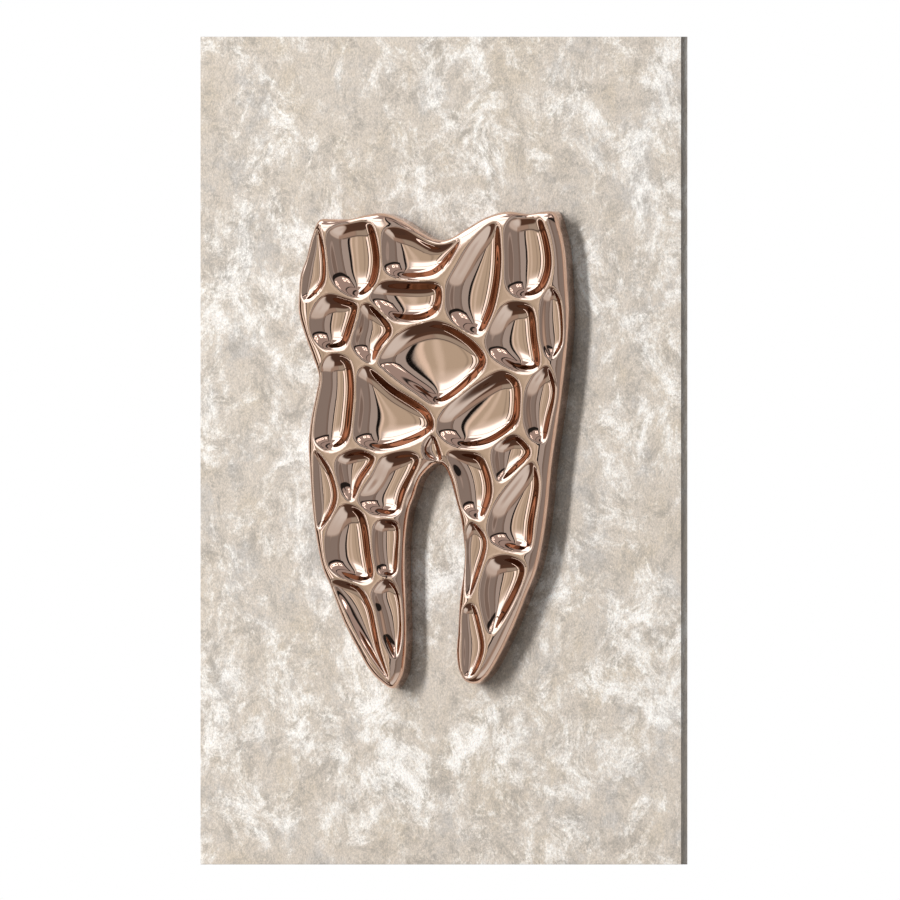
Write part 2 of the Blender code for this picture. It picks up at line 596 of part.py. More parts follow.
def main():
    for thing in list(bpy.data.objects):
        bpy.data.objects.remove(thing, do_unlink=True)
    rose_gold = finish("rose_gold_plating", (0.78, 0.50, 0.39), 0.08, 1.0)
    stone = finish("stone_plaster", (0.62, 0.57, 0.50), 0.85)
    plywood = finish("birch_plywood", (0.62, 0.44, 0.27), 0.6)
    pine = finish("pine", (0.70, 0.50, 0.29), 0.65)
    steel = finish("zinc_plated_steel", (0.60, 0.60, 0.62), 0.35, 0.9)
    brass = finish("brass_insert", (0.72, 0.52, 0.22), 0.35, 0.9)
    rubber = finish("black_rubber", (0.03, 0.03, 0.03), 0.8)

    sides, across, depth, half_width, half_height = panel_frame(pine, plywood)
    side_rail_holes = frame_screws(across, depth, half_width, half_height, steel)
    board_size = (2 * half_width, BOARD_THICKNESS, 2 * half_height)
    board = block("face_board", board_size, (0, -depth - SEAT_GAP - BOARD_THICKNESS / 2, 0), plywood)
    coat = plaster_coat(stone)
    tooth_casting(rose_gold)
    tooth_mounting(board, coat, depth, plywood, steel, brass)
    for side, rail in zip(("left", "right"), sides):
        side_rail_holes += hanger(side, rail, steel)
    side_rail_holes += bumpers(sides, half_height, rubber, steel)
    drill(sides, "side_rail_holes", side_rail_holes)


main()
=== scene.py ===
# Looks of the tooth wall sculpture: the plated relief, the stone-effect coat, the timber and the
# hardware behind. Shapes are worked out in millimetres: +X right, +Y towards the wall, +Z up.
import json
import math

import bmesh
import bpy
import numpy as np
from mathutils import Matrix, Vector
from mathutils.geometry import delaunay_2d_cdt


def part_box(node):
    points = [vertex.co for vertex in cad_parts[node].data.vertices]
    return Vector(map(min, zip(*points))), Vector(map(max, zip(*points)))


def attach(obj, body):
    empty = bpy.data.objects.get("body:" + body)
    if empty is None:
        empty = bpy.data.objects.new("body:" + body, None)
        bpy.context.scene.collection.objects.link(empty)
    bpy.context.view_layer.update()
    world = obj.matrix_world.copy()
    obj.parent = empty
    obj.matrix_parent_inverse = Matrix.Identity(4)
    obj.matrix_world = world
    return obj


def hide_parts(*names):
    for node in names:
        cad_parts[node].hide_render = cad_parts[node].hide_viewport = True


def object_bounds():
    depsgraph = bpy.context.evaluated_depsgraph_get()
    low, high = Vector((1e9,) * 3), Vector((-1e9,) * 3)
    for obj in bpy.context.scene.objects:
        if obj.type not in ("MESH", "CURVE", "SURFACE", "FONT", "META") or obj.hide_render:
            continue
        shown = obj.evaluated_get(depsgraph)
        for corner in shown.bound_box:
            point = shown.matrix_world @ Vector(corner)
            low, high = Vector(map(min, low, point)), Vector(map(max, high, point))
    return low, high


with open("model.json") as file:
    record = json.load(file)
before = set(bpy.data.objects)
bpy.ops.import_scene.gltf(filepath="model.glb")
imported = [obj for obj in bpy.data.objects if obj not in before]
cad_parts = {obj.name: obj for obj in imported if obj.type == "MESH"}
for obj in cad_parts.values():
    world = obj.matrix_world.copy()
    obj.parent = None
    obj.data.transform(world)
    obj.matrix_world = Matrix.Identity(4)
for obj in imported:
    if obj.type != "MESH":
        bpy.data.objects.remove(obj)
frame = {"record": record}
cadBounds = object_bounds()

mm = 0.001


def addObject(name, data):
    made = bpy.data.objects.new(name, data)
    bpy.context.scene.collection.objects.link(made)
    return made


# nodes and materials

def feed(node, inputs):
    # gives each of a node's inputs a constant or another node's output
    for name, value in inputs.items():
        if isinstance(value, bpy.types.NodeSocket):
            node.id_data.links.new(value, node.inputs[name])
        else:
            node.inputs[name].default_value = value


def addNode(tree, kind, inputs=(), **settings):
    node = tree.nodes.new("ShaderNode" + kind)
    for name, value in settings.items():
        setattr(node, name, value)
    feed(node, dict(inputs))
    return node


def calc(tree, operation, first, second=0.0, third=0.0):
    return addNode(tree, "Math", {0: first, 1: second, 2: third}, operation=operation).outputs[0]


def mix(tree, share, first, second, how="MIX"):
    node = addNode(tree, "Mix", {0: share, 6: first, 7: second}, data_type="RGBA", blend_type=how)
    return node.outputs[2]


def ease(tree, value, low, high, start=0.0, end=1.0):
    # an S-shaped step from start to end as the value goes from low to high
    inputs = {"Value": value, "From Min": low, "From Max": high, "To Min": start, "To Max": end}
    return addNode(tree, "MapRange", inputs, interpolation_type="SMOOTHSTEP").outputs[0]


def noise(tree, vector, scale, detail=4.0, roughness=0.55, distortion=0.0):
    inputs = {"Vector": vector, "Scale": scale, "Detail": detail, "Roughness": roughness,
              "Distortion": distortion}
    return addNode(tree, "TexNoise", inputs).outputs["Fac"]


def spread(tree, vector, scale, turn=(0, 0, 0), shift=(0, 0, 0)):
    # the coordinates stretched by a scale on each axis
    inputs = {"Vector": vector, "Scale": scale, "Rotation": turn, "Location": shift}
    return addNode(tree, "Mapping", inputs).outputs[0]


def newMaterial(name, roughness, metallic=0.0):
    # a material with its Principled shader and its Object coordinates
    material = bpy.data.materials.new(name)
    material.use_nodes = True
    tree = material.node_tree
    shader = tree.nodes["Principled BSDF"]
    feed(shader, {"Roughness": roughness, "Metallic": metallic})
    place = addNode(tree, "TexCoord").outputs["Object"]
    return material, tree, shader, place


def bump(tree, height, strength, distance):
    inputs = {"Height": height, "Strength": strength, "Distance": distance}
    return addNode(tree, "Bump", inputs).outputs[0]


plating = {
    "colour": (0.80, 0.57, 0.462, 1),
    "deepColour": (0.77, 0.535, 0.425, 1),  # where the plating is thicker
    "cloudScale": 14,
    "smearScale": 60,
    "roughness": (0.02, 0.05),  # least, and greatest where it is smeared
    "rippleScale": 90,
    "ripple": 0.00002,  # height of the polished surface's ripple, metres
}


def roseGoldPlating():
    # slow clouds of a deeper tone, faint smears and the ripple that polishing leaves
    material, tree, shader, place = newMaterial("roseGoldPlating", 0.06, 1.0)
    cloud = noise(tree, place, plating["cloudScale"], 3)
    smear = noise(tree, place, plating["smearScale"], 5, 0.65)
    ripple = noise(tree, place, plating["rippleScale"], 2)
    feed(shader, {
        "Base Color": mix(tree, cloud, plating["colour"], plating["deepColour"]),
        "Roughness": ease(tree, smear, 0.35, 0.75, *plating["roughness"]),
        "Normal": bump(tree, ripple, 1.0, plating["ripple"]),
    })
    return material


stone = {
    "base": (0.68, 0.605, 0.525, 1),
    "dark": (0.36, 0.325, 0.285, 1),
    "warm": (0.66, 0.575, 0.475, 1),
    "cool": (0.60, 0.555, 0.51, 1),
    "white": (1.0, 0.97, 0.925, 1),
    "upwards": 0.8,  # the patterns' scale upwards: under 1, the patches stand a little taller
    "mottleScale": 30,
    "hueScale": 17,
    "bloomScale": 15,
    "speckleScale": 560,
    "speckle": (0.80, 1.20),  # its darkest and lightest shade
    "roughness": 0.8,
    "grain": 0.00025,
}


def stonePlaster():
    # Beige ground mottled over seven octaves, warm and cool patches, white blooms with torn edges,
    # and a fine speckle drawn out upwards.
    material, tree, shader, place = newMaterial("stonePlaster", stone["roughness"])
    tall = spread(tree, place, (1, 1, stone["upwards"]))
    mottle = noise(tree, tall, stone["mottleScale"], 7, 0.92, 0.5)
    hues = noise(tree, spread(tree, tall, (1, 1, 1), shift=(3, 1, 2)), stone["hueScale"], 5, 0.75)
    colour = mix(tree, ease(tree, hues, 0.50, 0.66), stone["base"], stone["warm"])
    colour = mix(tree, ease(tree, hues, 0.34, 0.50, 1.0, 0.0), colour, stone["cool"])
    colour = mix(tree, ease(tree, mottle, 0.36, 0.52, 0.65, 0.0), colour, stone["dark"])
    apart = spread(tree, tall, (1, 1, 1), shift=(5, 0, 7))
    blooms = noise(tree, apart, stone["bloomScale"], 8, 0.82, 0.5)
    pale = calc(tree, "MULTIPLY_ADD", mottle, 0.6, blooms)
    colour = mix(tree, ease(tree, pale, 0.77, 0.97), colour, stone["white"])
    fine = noise(tree, spread(tree, place, (1, 1, 0.6)), stone["speckleScale"], 3, 0.9)
    shade = ease(tree, fine, 0.3, 0.7, *stone["speckle"])
    grey = addNode(tree, "CombineColor", {0: shade, 1: shade, 2: shade}).outputs[0]
    rough = calc(tree, "MULTIPLY_ADD", fine, 0.5, pale)
    feed(shader, {
        "Base Color": mix(tree, 1.0, colour, grey, "MULTIPLY"),
        "Normal": bump(tree, rough, 0.5, stone["grain"]),
    })
    return material


pine = {
    "pale": (0.74, 0.53, 0.31, 1),
    "late": (0.50, 0.28, 0.12, 1),  # the dark, summer part of each ring
    "knot": (0.20, 0.09, 0.035, 1),
    "ringWidth": 0.0035,
    "knotScale": 7,
    "bendScale": 9,
    "fibreScale": 900,
    "grain": 0.0002,
}


def pineTimber(name, along):
    # Growth rings cut lengthwise: a sine of the distance across, bent by slow noise and round the
    # knots, with fine fibres drawn out along the grain.
    material, tree, shader, place = newMaterial(name, 0.6)
    stretch = [1.0, 1.0, 1.0]
    stretch["XYZ".index(along)] = 0.16
    drawn = spread(tree, place, stretch)
    knots = addNode(tree, "TexVoronoi", {"Vector": drawn, "Scale": pine["knotScale"]}).outputs[0]
    bend = noise(tree, drawn, pine["bendScale"], 2)
    x, y, z = addNode(tree, "SeparateXYZ", {0: drawn}).outputs
    across = calc(tree, "ADD", y, z if along == "X" else x)
    across = calc(tree, "MULTIPLY_ADD", bend, 0.10, across)
    across = calc(tree, "ADD", across, calc(tree, "DIVIDE", 0.0012, calc(tree, "ADD", knots, 0.06)))
    phase = calc(tree, "MULTIPLY", across, 2 * math.pi / pine["ringWidth"])
    rings = calc(tree, "POWER", calc(tree, "MULTIPLY_ADD", calc(tree, "SINE", phase), 0.5, 0.5), 2.2)
    stretch["XYZ".index(along)] = 0.03
    fibres = noise(tree, spread(tree, place, stretch), pine["fibreScale"], 3, 0.7)
    colour = mix(tree, calc(tree, "MULTIPLY", rings, 0.75), pine["pale"], pine["late"])
    colour = mix(tree, ease(tree, knots, 0.10, 0.17, 0.85, 0.0), colour, pine["knot"])
    rough = calc(tree, "MULTIPLY_ADD", fibres, 0.6, rings)
    feed(shader, {
        "Base Color": mix(tree, ease(tree, fibres, 0.3, 0.7, 0.25, 0.0), colour, pine["late"]),
        "Roughness": ease(tree, rough, 0.2, 1.4, 0.66, 0.48),
        "Normal": bump(tree, rough, 0.5, pine["grain"]),
    })
    return material


birch = {
    "pale": (0.76, 0.60, 0.40, 1),
    "streak": (0.60, 0.42, 0.24, 1),
    "fleck": (0.36, 0.22, 0.11, 1),
    "ply": 0.003,  # two plies, one of them end grain
    "waveScale": 26,
    "fibreScale": 700,
    "fleckScale": 240,
    "grain": 0.00012,
}


def birchPlywood():
    # A peeled face veneer: broad soft waves, fine pores and short flecks, all drawn out upwards.
    # Cut edges show the plies, light and dark by turns.
    material, tree, shader, place = newMaterial("birchPlywood", 0.55)
    waves = noise(tree, spread(tree, place, (1, 1, 0.18)), birch["waveScale"], 5, 0.6, 1.2)
    fibres = noise(tree, spread(tree, place, (1, 1, 0.03)), birch["fibreScale"], 3, 0.7)
    flecks = noise(tree, spread(tree, place, (1, 1, 0.12)), birch["fleckScale"], 2)
    colour = mix(tree, ease(tree, waves, 0.35, 0.68), birch["pale"], birch["streak"])
    colour = mix(tree, ease(tree, fibres, 0.35, 0.75, 0.0, 0.45), colour, birch["streak"])
    colour = mix(tree, ease(tree, flecks, 0.68, 0.76, 0.0, 0.7), colour, birch["fleck"])
    y = addNode(tree, "SeparateXYZ", {0: place}).outputs[1]
    plies = calc(tree, "SINE", calc(tree, "MULTIPLY", y, 2 * math.pi / birch["ply"]))
    normal = addNode(tree, "NewGeometry").outputs["Normal"]
    facing = calc(tree, "ABSOLUTE", addNode(tree, "SeparateXYZ", {0: normal}).outputs[1])
    cut = ease(tree, facing, 0.5, 0.8, 1.0, 0.0)
    dark = calc(tree, "MULTIPLY", cut, ease(tree, plies, -0.2, 0.2, 0.0, 0.75))
    feed(shader, {
        "Base Color": mix(tree, dark, colour, birch["fleck"]),
        "Normal": bump(tree, fibres, 0.5, birch["grain"]),
    })
    return material


metals = {
    "cloudScale": 220,
    "scratchScale": 2600,
    # colour, colour in its cloudy patches, least and greatest roughness, scratch depth
    "zincSteel": ((0.64, 0.65, 0.66, 1), (0.50, 0.51, 0.54, 1), 0.24, 0.46, 0.00002),
    "brassInsert": ((0.78, 0.57, 0.25, 1), (0.62, 0.41, 0.15, 1), 0.25, 0.5, 0.00002),
}


def workedMetal(name):
    # cloudy plating with fine scratches one way
    bright, dull, least, greatest, depth = metals[name]
    material, tree, shader, place = newMaterial(name, least, 1.0)
    cloud = noise(tree, place, metals["cloudScale"], 5, 0.65)
    slanted = spread(tree, place, (1, 1, 0.05), turn=(0, 0.6, 0))
    scratches = noise(tree, slanted, metals["scratchScale"], 2, 0.7)
    rough = calc(tree, "MULTIPLY_ADD", scratches, 0.5, calc(tree, "MULTIPLY", cloud, 0.6))
    feed(shader, {
        "Base Color": mix(tree, ease(tree, cloud, 0.4, 0.65), bright, dull),
        "Roughness": ease(tree, rough, 0.4, 0.7, least, greatest),
        "Normal": bump(tree, scratches, 0.6, depth),
    })
    return material


rubber = {
    "colour": (0.018, 0.018, 0.019, 1),
    "bloom": (0.055, 0.054, 0.052, 1),  # the greyish film of aged rubber
    "bloomScale": 130,
    "roughness": (0.55, 0.85),
    "grainScale": 2400,
    "grain": 0.00008,
}


def blackRubber():
    # black with a grey film in patches, rougher there, and a fine grain
    material, tree, shader, place = newMaterial("blackRubber", 0.7)
    film = noise(tree, place, rubber["bloomScale"], 5, 0.6)
    grain = noise(tree, place, rubber["grainScale"], 2)
    feed(shader, {
        "Base Color": mix(tree, ease(tree, film, 0.42, 0.7), rubber["colour"], rubber["bloom"]),
        "Roughness": ease(tree, film, 0.3, 0.7, *rubber["roughness"]),
        "Normal": bump(tree, grain, 0.5, rubber["grain"]),
    })
    return material


# meshes

def strips(first, second):
    # the four-sided faces between two closed rows of point numbers
    return np.stack([np.roll(first, 1), first, second, np.roll(second, 1)], 1)


def sleeve(first, start, count):
    # the faces that carry a closed row on over so many rows of new points, numbered from start,
    # and the last of those rows
    rows = [first, *(start + np.arange(count * len(first)).reshape(count, -1))]
    return [strips(row, after) for row, after in zip(rows, rows[1:])], rows[-1]


def fan(row, pole):
    # the triangles between a closed row of point numbers and one point
    return np.stack([np.roll(row, 1), row, np.full(len(row), pole)], 1)


def raised(flat, y):
    # flat points (x, z) at one y, or each at its own
    return np.stack([flat[:, 0], np.broadcast_to(y, len(flat)), flat[:, 1]], 1)


def lengths(vectors):
    return np.linalg.norm(vectors, axis=-1, keepdims=True)


def fitted(node):
    # a node's box in millimetres: its low and high corners and its middle
    low, high = (1000 * np.array(corner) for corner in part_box(node))
    return low, high, (low + high) / 2


def addPiece(node, points, faceGroups, material, body="panel", sharpAngle=50, name=None):
    # The closed, smooth-shaded shell that stands for a node, from points in millimetres and groups
    # of 3- or 4-sided faces. Unless a name is given, it is the node's words run together.
    words = node.split("_")
    name = name or words[0] + "".join(word.capitalize() for word in words[1:]) + "Detail"
    sizes = np.concatenate([np.full(len(group), group.shape[1]) for group in faceGroups])
    corners = np.concatenate([group.ravel() for group in faceGroups])
    mesh = bpy.data.meshes.new(name)
    mesh.vertices.add(len(points))
    mesh.vertices.foreach_set("co", (points * mm).ravel())
    mesh.loops.add(len(corners))
    mesh.loops.foreach_set("vertex_index", corners.astype(np.int32))
    mesh.polygons.add(len(sizes))
    mesh.polygons.foreach_set("loop_start", (np.cumsum(sizes) - sizes).astype(np.int32))
    mesh.update(calc_edges=True)
    shape = bmesh.new()
    shape.from_mesh(mesh)
    bmesh.ops.remove_doubles(shape, verts=shape.verts, dist=0.001 * mm)
    bmesh.ops.recalc_face_normals(shape, faces=shape.faces)
    openEdges = sum(not edge.is_manifold for edge in shape.edges)
    shape.to_mesh(mesh)
    shape.free()
    mesh.shade_smooth()
    mesh.set_sharp_from_angle(angle=math.radians(sharpAngle))
    mesh.materials.append(material)
    piece = addObject(name, mesh)
    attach(piece, body)
    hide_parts(node)
    mesh.calc_loop_triangles()
    print(name, len(mesh.loop_triangles), "triangles,", openEdges, "open edges")


# the plated tooth

tooth = {
    "node": "tooth_shell",
    "spacing": 1.8,  # of points along the outline and the rims
    "ridgeSpacing": 1.8,
    "sideWall": 28,  # height of the straight side
    "edgeWidth": 24,  # of the rounding between side and front
    "edgePower": 2.6,  # its fullness: 2 is a quarter of an ellipse
    "edgeAngles": (8, 15, 22, 29, 36, 43, 50, 56, 62, 68, 74),  # rows round that rounding, degrees
    "sideRows": (19, 10, 1),
    "backEdge": 0.5,
    "castingWall": 5,
    "hollowDepth": 18.3,
    "dentDepth": 12.5,
    "dentWall": 11.4,  # how far its wall takes to turn down to the floor
    "narrowest": 4.7,  # that wall in the smallest dents
    "wallShare": 0.7,  # the wall as a share of a narrow dent's widest distance
    "wallPower": 2.34,  # how late the wall starts to fall
    "depthPower": 0.74,  # how a narrow dent's depth follows its wall
    "lip": 3.2,  # how far the rounding reaches outside the rim
    "bowl": 0.135,  # the floor's extra depth in the middle, as a share of the widest distance
    "bowlPower": 1.58,
    "lean": (0.03, -0.02),  # slope of the floors, down to the right and down to the bottom
    "lipRows": (0.55, 1.15),  # rows of points outside each rim
    "ringPower": 1.3,  # how much the rings in a dent crowd towards the rim
    "outline": [  # (x, z) from the tooth's middle, clockwise from the left cusp
        (-143, 279), (-129, 280), (-106, 280), (-84, 285), (-65, 287), (-43, 280), (-17, 264),
        (-1, 256), (15, 255), (39, 268), (64, 282), (90, 289), (117, 286), (136, 289), (149, 288),
        (158, 266), (163, 243), (166, 204), (168, 166), (166, 129), (160, 74), (153, 25), (146, -24),
        (142, -66), (136, -108), (127, -147), (117, -171), (101, -210), (83, -247), (66, -274),
        (53, -283), (40, -281), (32, -270), (28, -247), (30, -217), (32, -181), (37, -144),
        (37, -114), (33, -83), (27, -60), (19, -33), (12, -20), (2, -17), (-8, -24), (-18, -36),
        (-25, -56), (-31, -72), (-36, -108), (-37, -144), (-36, -178), (-35, -229), (-36, -252),
        (-40, -274), (-52, -289), (-68, -280), (-82, -265), (-96, -241), (-114, -206), (-128, -169),
        (-139, -144), (-147, -108), (-152, -70), (-155, -28), (-157, 7), (-154, 36), (-147, 70),
        (-144, 88), (-151, 111), (-161, 138), (-169, 166), (-169, 189), (-167, 212), (-160, 231),
        (-153, 258),
    ],
}

dents = {  # each one's rim, as (x, z) from the tooth's middle, clockwise
    "crownLeftSliver": [(-144, 268), (-136, 250), (-133, 221), (-136, 201), (-155, 182), (-162, 184),
        (-163, 201), (-155, 236)],
    "crownLeftTall": [(-130, 264), (-115, 275), (-90, 280), (-76, 276), (-66, 246), (-65, 221),
        (-73, 196), (-93, 184), (-120, 200), (-129, 224)],
    "crownSaddle": [(-62, 254), (-59, 267), (-50, 271), (-30, 268), (5, 251), (33, 254), (22, 228),
        (0, 209), (-46, 209), (-60, 222)],
    "crownLongSlant": [(73, 276), (82, 275), (87, 245), (85, 203), (74, 160), (60, 140), (38, 146),
        (20, 167), (19, 199), (32, 225), (54, 259)],
    "crownRightTall": [(92, 271), (101, 282), (133, 284), (143, 269), (150, 221), (136, 190),
        (111, 184), (95, 196), (91, 233)],
    "rightEdgeUpper": [(149, 196), (158, 186), (163, 157), (161, 126), (149, 112), (140, 123),
        (136, 155), (140, 186)],
    "leftPocket": [(-152, 163), (-132, 188), (-110, 185), (-93, 177), (-98, 148), (-110, 124),
        (-135, 122), (-152, 140)],
    "leftKite": [(-87, 175), (-78, 177), (-50, 146), (-64, 123), (-76, 106), (-98, 126), (-94, 151)],
    "upperBar": [(-76, 187), (-65, 202), (-27, 205), (10, 200), (10, 171), (-10, 156), (-47, 157),
        (-66, 170)],
    "centreLarge": [(-66, 106), (-48, 135), (-23, 151), (9, 156), (51, 134), (68, 108), (49, 81),
        (8, 55), (-21, 70), (-57, 96)],
    "rightPocket": [(68, 132), (82, 166), (96, 179), (124, 175), (132, 137), (133, 99), (108, 95),
        (74, 115)],
    "leftTall": [(-139, 102), (-125, 117), (-104, 111), (-97, 88), (-98, 49), (-106, 10), (-125, -1),
        (-146, 9), (-148, 37), (-141, 79)],
    "leftWedge": [(-93, 91), (-82, 102), (-48, 78), (-3, 47), (2, 26), (-35, 4), (-71, -1), (-95, 13),
        (-95, 55)],
    "rightWide": [(7, 32), (18, 51), (59, 83), (89, 96), (108, 84), (111, 55), (106, 31), (69, 5),
        (32, 3), (9, 20)],
    "rightEdgeLens": [(144, 101), (155, 76), (150, 44), (138, 9), (123, 16), (115, 57), (128, 90)],
    "leftLowerSliver": [(-146, -2), (-130, -19), (-119, -55), (-127, -80), (-142, -95), (-147, -66),
        (-149, -24)],
    "smallTriangle": [(-117, -11), (-93, 0), (-72, -9), (-87, -37), (-101, -61), (-114, -45)],
    "underLeftWedge": [(-91, -60), (-75, -32), (-60, -8), (-25, -2), (-15, -10), (-32, -53), (-43, -79),
        (-75, -77)],
    "crotchTriangle": [(0, 17), (8, 1), (9, -11), (-3, -10), (-10, 1)],
    "innerRightTop": [(20, -4), (59, -5), (71, -24), (75, -55), (60, -84), (39, -74), (29, -36)],
    "smallSlant": [(79, 4), (103, 18), (123, -2), (107, -23), (85, -37), (77, -18)],
    "rightRootUpper": [(125, -15), (135, -36), (129, -86), (121, -122), (93, -121), (72, -106),
        (74, -76), (97, -41)],
    "rightRootInner": [(41, -100), (50, -88), (67, -108), (60, -144), (45, -177), (41, -160)],
    "rightRootLower": [(74, -132), (98, -128), (117, -141), (96, -197), (74, -222), (62, -190),
        (62, -160)],
    "rightRootTip": [(39, -192), (50, -187), (61, -217), (64, -244), (50, -274), (40, -274),
        (37, -229)],
    "leftRootLarge": [(-135, -114), (-130, -94), (-109, -66), (-87, -74), (-76, -122), (-75, -157),
        (-95, -161), (-129, -144)],
    "leftRootInner": [(-72, -96), (-63, -85), (-44, -89), (-42, -123), (-48, -152), (-66, -148)],
    "leftRootOuter": [(-124, -160), (-93, -164), (-77, -187), (-70, -215), (-65, -241), (-56, -276),
        (-80, -246), (-107, -199)],
    "leftRootTip": [(-73, -173), (-57, -157), (-44, -167), (-38, -223), (-46, -251), (-60, -229),
        (-67, -200)],
}


def closedCurve(points, spacing):
    # The smooth closed curve through the points (Catmull-Rom, its knots the square roots of the
    # gaps), as points at an equal spacing.
    b = np.array(points, float)
    a, c, d = np.roll(b, 1, 0), np.roll(b, -1, 0), np.roll(b, -2, 0)
    t1 = np.sqrt(lengths(b - a))
    t2 = t1 + np.sqrt(lengths(c - b))
    t3 = t2 + np.sqrt(lengths(d - c))
    spans = []
    for share in np.linspace(0, 1, 32, endpoint=False):
        t = t1 + share * (t2 - t1)
        ab = a * (t1 - t) / t1 + b * t / t1
        bc = b * (t2 - t) / (t2 - t1) + c * (t - t1) / (t2 - t1)
        cd = c * (t3 - t) / (t3 - t2) + d * (t - t2) / (t3 - t2)
        abc = ab * (t2 - t) / t2 + bc * t / t2
        bcd = bc * (t3 - t) / (t3 - t1) + cd * (t - t1) / (t3 - t1)
        spans.append(abc * (t2 - t) / (t2 - t1) + bcd * (t - t1) / (t2 - t1))
    fine = np.stack(spans, 1).reshape(-1, 2)
    fine = np.vstack([fine, fine[:1]])
    run = np.concatenate([[0], np.cumsum(np.linalg.norm(np.diff(fine, axis=0), axis=1))])
    stops = np.linspace(0, run[-1], round(run[-1] / spacing), endpoint=False)
    return np.stack([np.interp(stops, run, fine[:, 0]), np.interp(stops, run, fine[:, 1])], 1)


def inwards(loop):
    # the unit normals of a clockwise loop: its direction, from neighbour to neighbour, turned right
    along = np.roll(loop, -1, 0) - np.roll(loop, 1, 0)
    return along[:, ::-1] * (1, -1) / lengths(along)


def movedIn(loop, distance):
    # a clockwise loop moved inwards along its normals, outwards where the distance is negative
    return loop + distance * inwards(loop)


def inParts(measure, points, loop, reach=1e9, far=0.0, rows=1500):
    # a measure of points against a loop, a few rows at a time and only within reach of its box
    found = np.full(len(points), far)
    near = ((points > loop.min(0) - reach) & (points < loop.max(0) + reach)).all(1)
    near = np.flatnonzero(near)
    for start in range(0, len(near), rows):
        part = near[start:start + rows]
        found[part] = measure(points[part], loop)
    return found


def isInside(points, loop):
    # 1 inside the loop, else 0, by counting the edges that a ray to the right crosses
    start, end = loop, np.roll(loop, -1, 0)
    x, z = points[:, :1], points[:, 1:]
    spans = (start[:, 1] > z) != (end[:, 1] > z)
    rise = np.where(end[:, 1] == start[:, 1], 1, end[:, 1] - start[:, 1])
    crossing = start[:, 0] + (z - start[:, 1]) * (end[:, 0] - start[:, 0]) / rise
    return (spans & (x < crossing)).sum(1) % 2


def distanceTo(points, loop):
    # the distance to the loop's two edges that meet at its nearest point
    gaps = (loop ** 2).sum(1) - 2 * points @ loop.T
    nearest = gaps.argmin(1)
    off, found = points - loop[nearest], []
    for side in (-1, 1):
        edge = loop[(nearest + side) % len(loop)] - loop[nearest]
        share = np.clip((off * edge).sum(1) / (edge * edge).sum(1), 0, 1)
        found.append(np.linalg.norm(off - share[:, None] * edge, axis=1))
    return np.minimum(*found)


def softDistanceTo(points, loop):
    # A distance with no creases: the square root of 2 over the sum of ds / r^3 round the loop.
    # It equals the plain distance close to an edge, and bends smoothly over in the middle.
    start, edge = loop, np.roll(loop, -1, 0) - loop
    length = np.linalg.norm(edge, axis=1)
    off = points[:, None] - start
    along = (off * (edge / length[:, None])).sum(2)
    square = np.maximum((off ** 2).sum(2) - along ** 2, 1e-6)
    after = length - along
    pull = along / np.sqrt(square + along ** 2) + after / np.sqrt(square + after ** 2)
    return np.sqrt(2 / (pull / square).sum(1))


def trianglesBetween(points, loops):
    # a triangulation of the points that keeps the loops' edges, given as arrays of point numbers
    edges = np.concatenate([np.stack([loop, np.roll(loop, -1)], 1) for loop in loops])
    found = delaunay_2d_cdt([Vector(p) for p in points], edges.tolist(), [], 0, 0.0005, True)
    original = np.array([ids[0] for ids in found[3]])
    return original[np.array(found[2])]


def crestHeight(points, outline, top):
    # the front before it is dented: a full quarter round from the side wall's top to the crest,
    # 1 - (1 - share of the width) ^ power, and the whole to the power of 1 / power
    width, power = tooth["edgeWidth"], tooth["edgePower"]
    share = np.clip(inParts(distanceTo, points, outline) / width, 0, 1)
    return tooth["sideWall"] + (top - tooth["sideWall"]) * (1 - (1 - share) ** power) ** (1 / power)


def dentDrop(points, inward, dent):
    # Depth times 1 - exp(-(distance / wall) ^ power), with the distance counted from the lip. The
    # floor leans a little, and bows down by bowl times (distance / widest) ^ power.
    share = np.maximum(inward + tooth["lip"], 0) / dent["wall"]
    floor = 1 - np.exp(-share ** tooth["wallPower"])
    bow = np.clip(inward / dent["widest"], 0, 1.2) ** tooth["bowlPower"]
    lean = (points - dent["centre"]) @ np.array(tooth["lean"])
    return (dent["depth"] + lean) * floor + tooth["bowl"] * dent["widest"] * bow


def dentShape(rim):
    # the wall and depth of a dent, both less where the dent is narrow, and its widest distance
    centre = rim.mean(0)
    trial = centre + np.linspace(0.05, 0.6, 6)[:, None, None] * (rim - centre)
    widest = softDistanceTo(trial.reshape(-1, 2), rim).max()
    wall = np.clip(tooth["wallShare"] * widest, tooth["narrowest"], tooth["dentWall"])
    depth = tooth["dentDepth"] * (wall / tooth["dentWall"]) ** tooth["depthPower"]
    return {"centre": centre, "widest": widest, "wall": wall, "depth": depth}


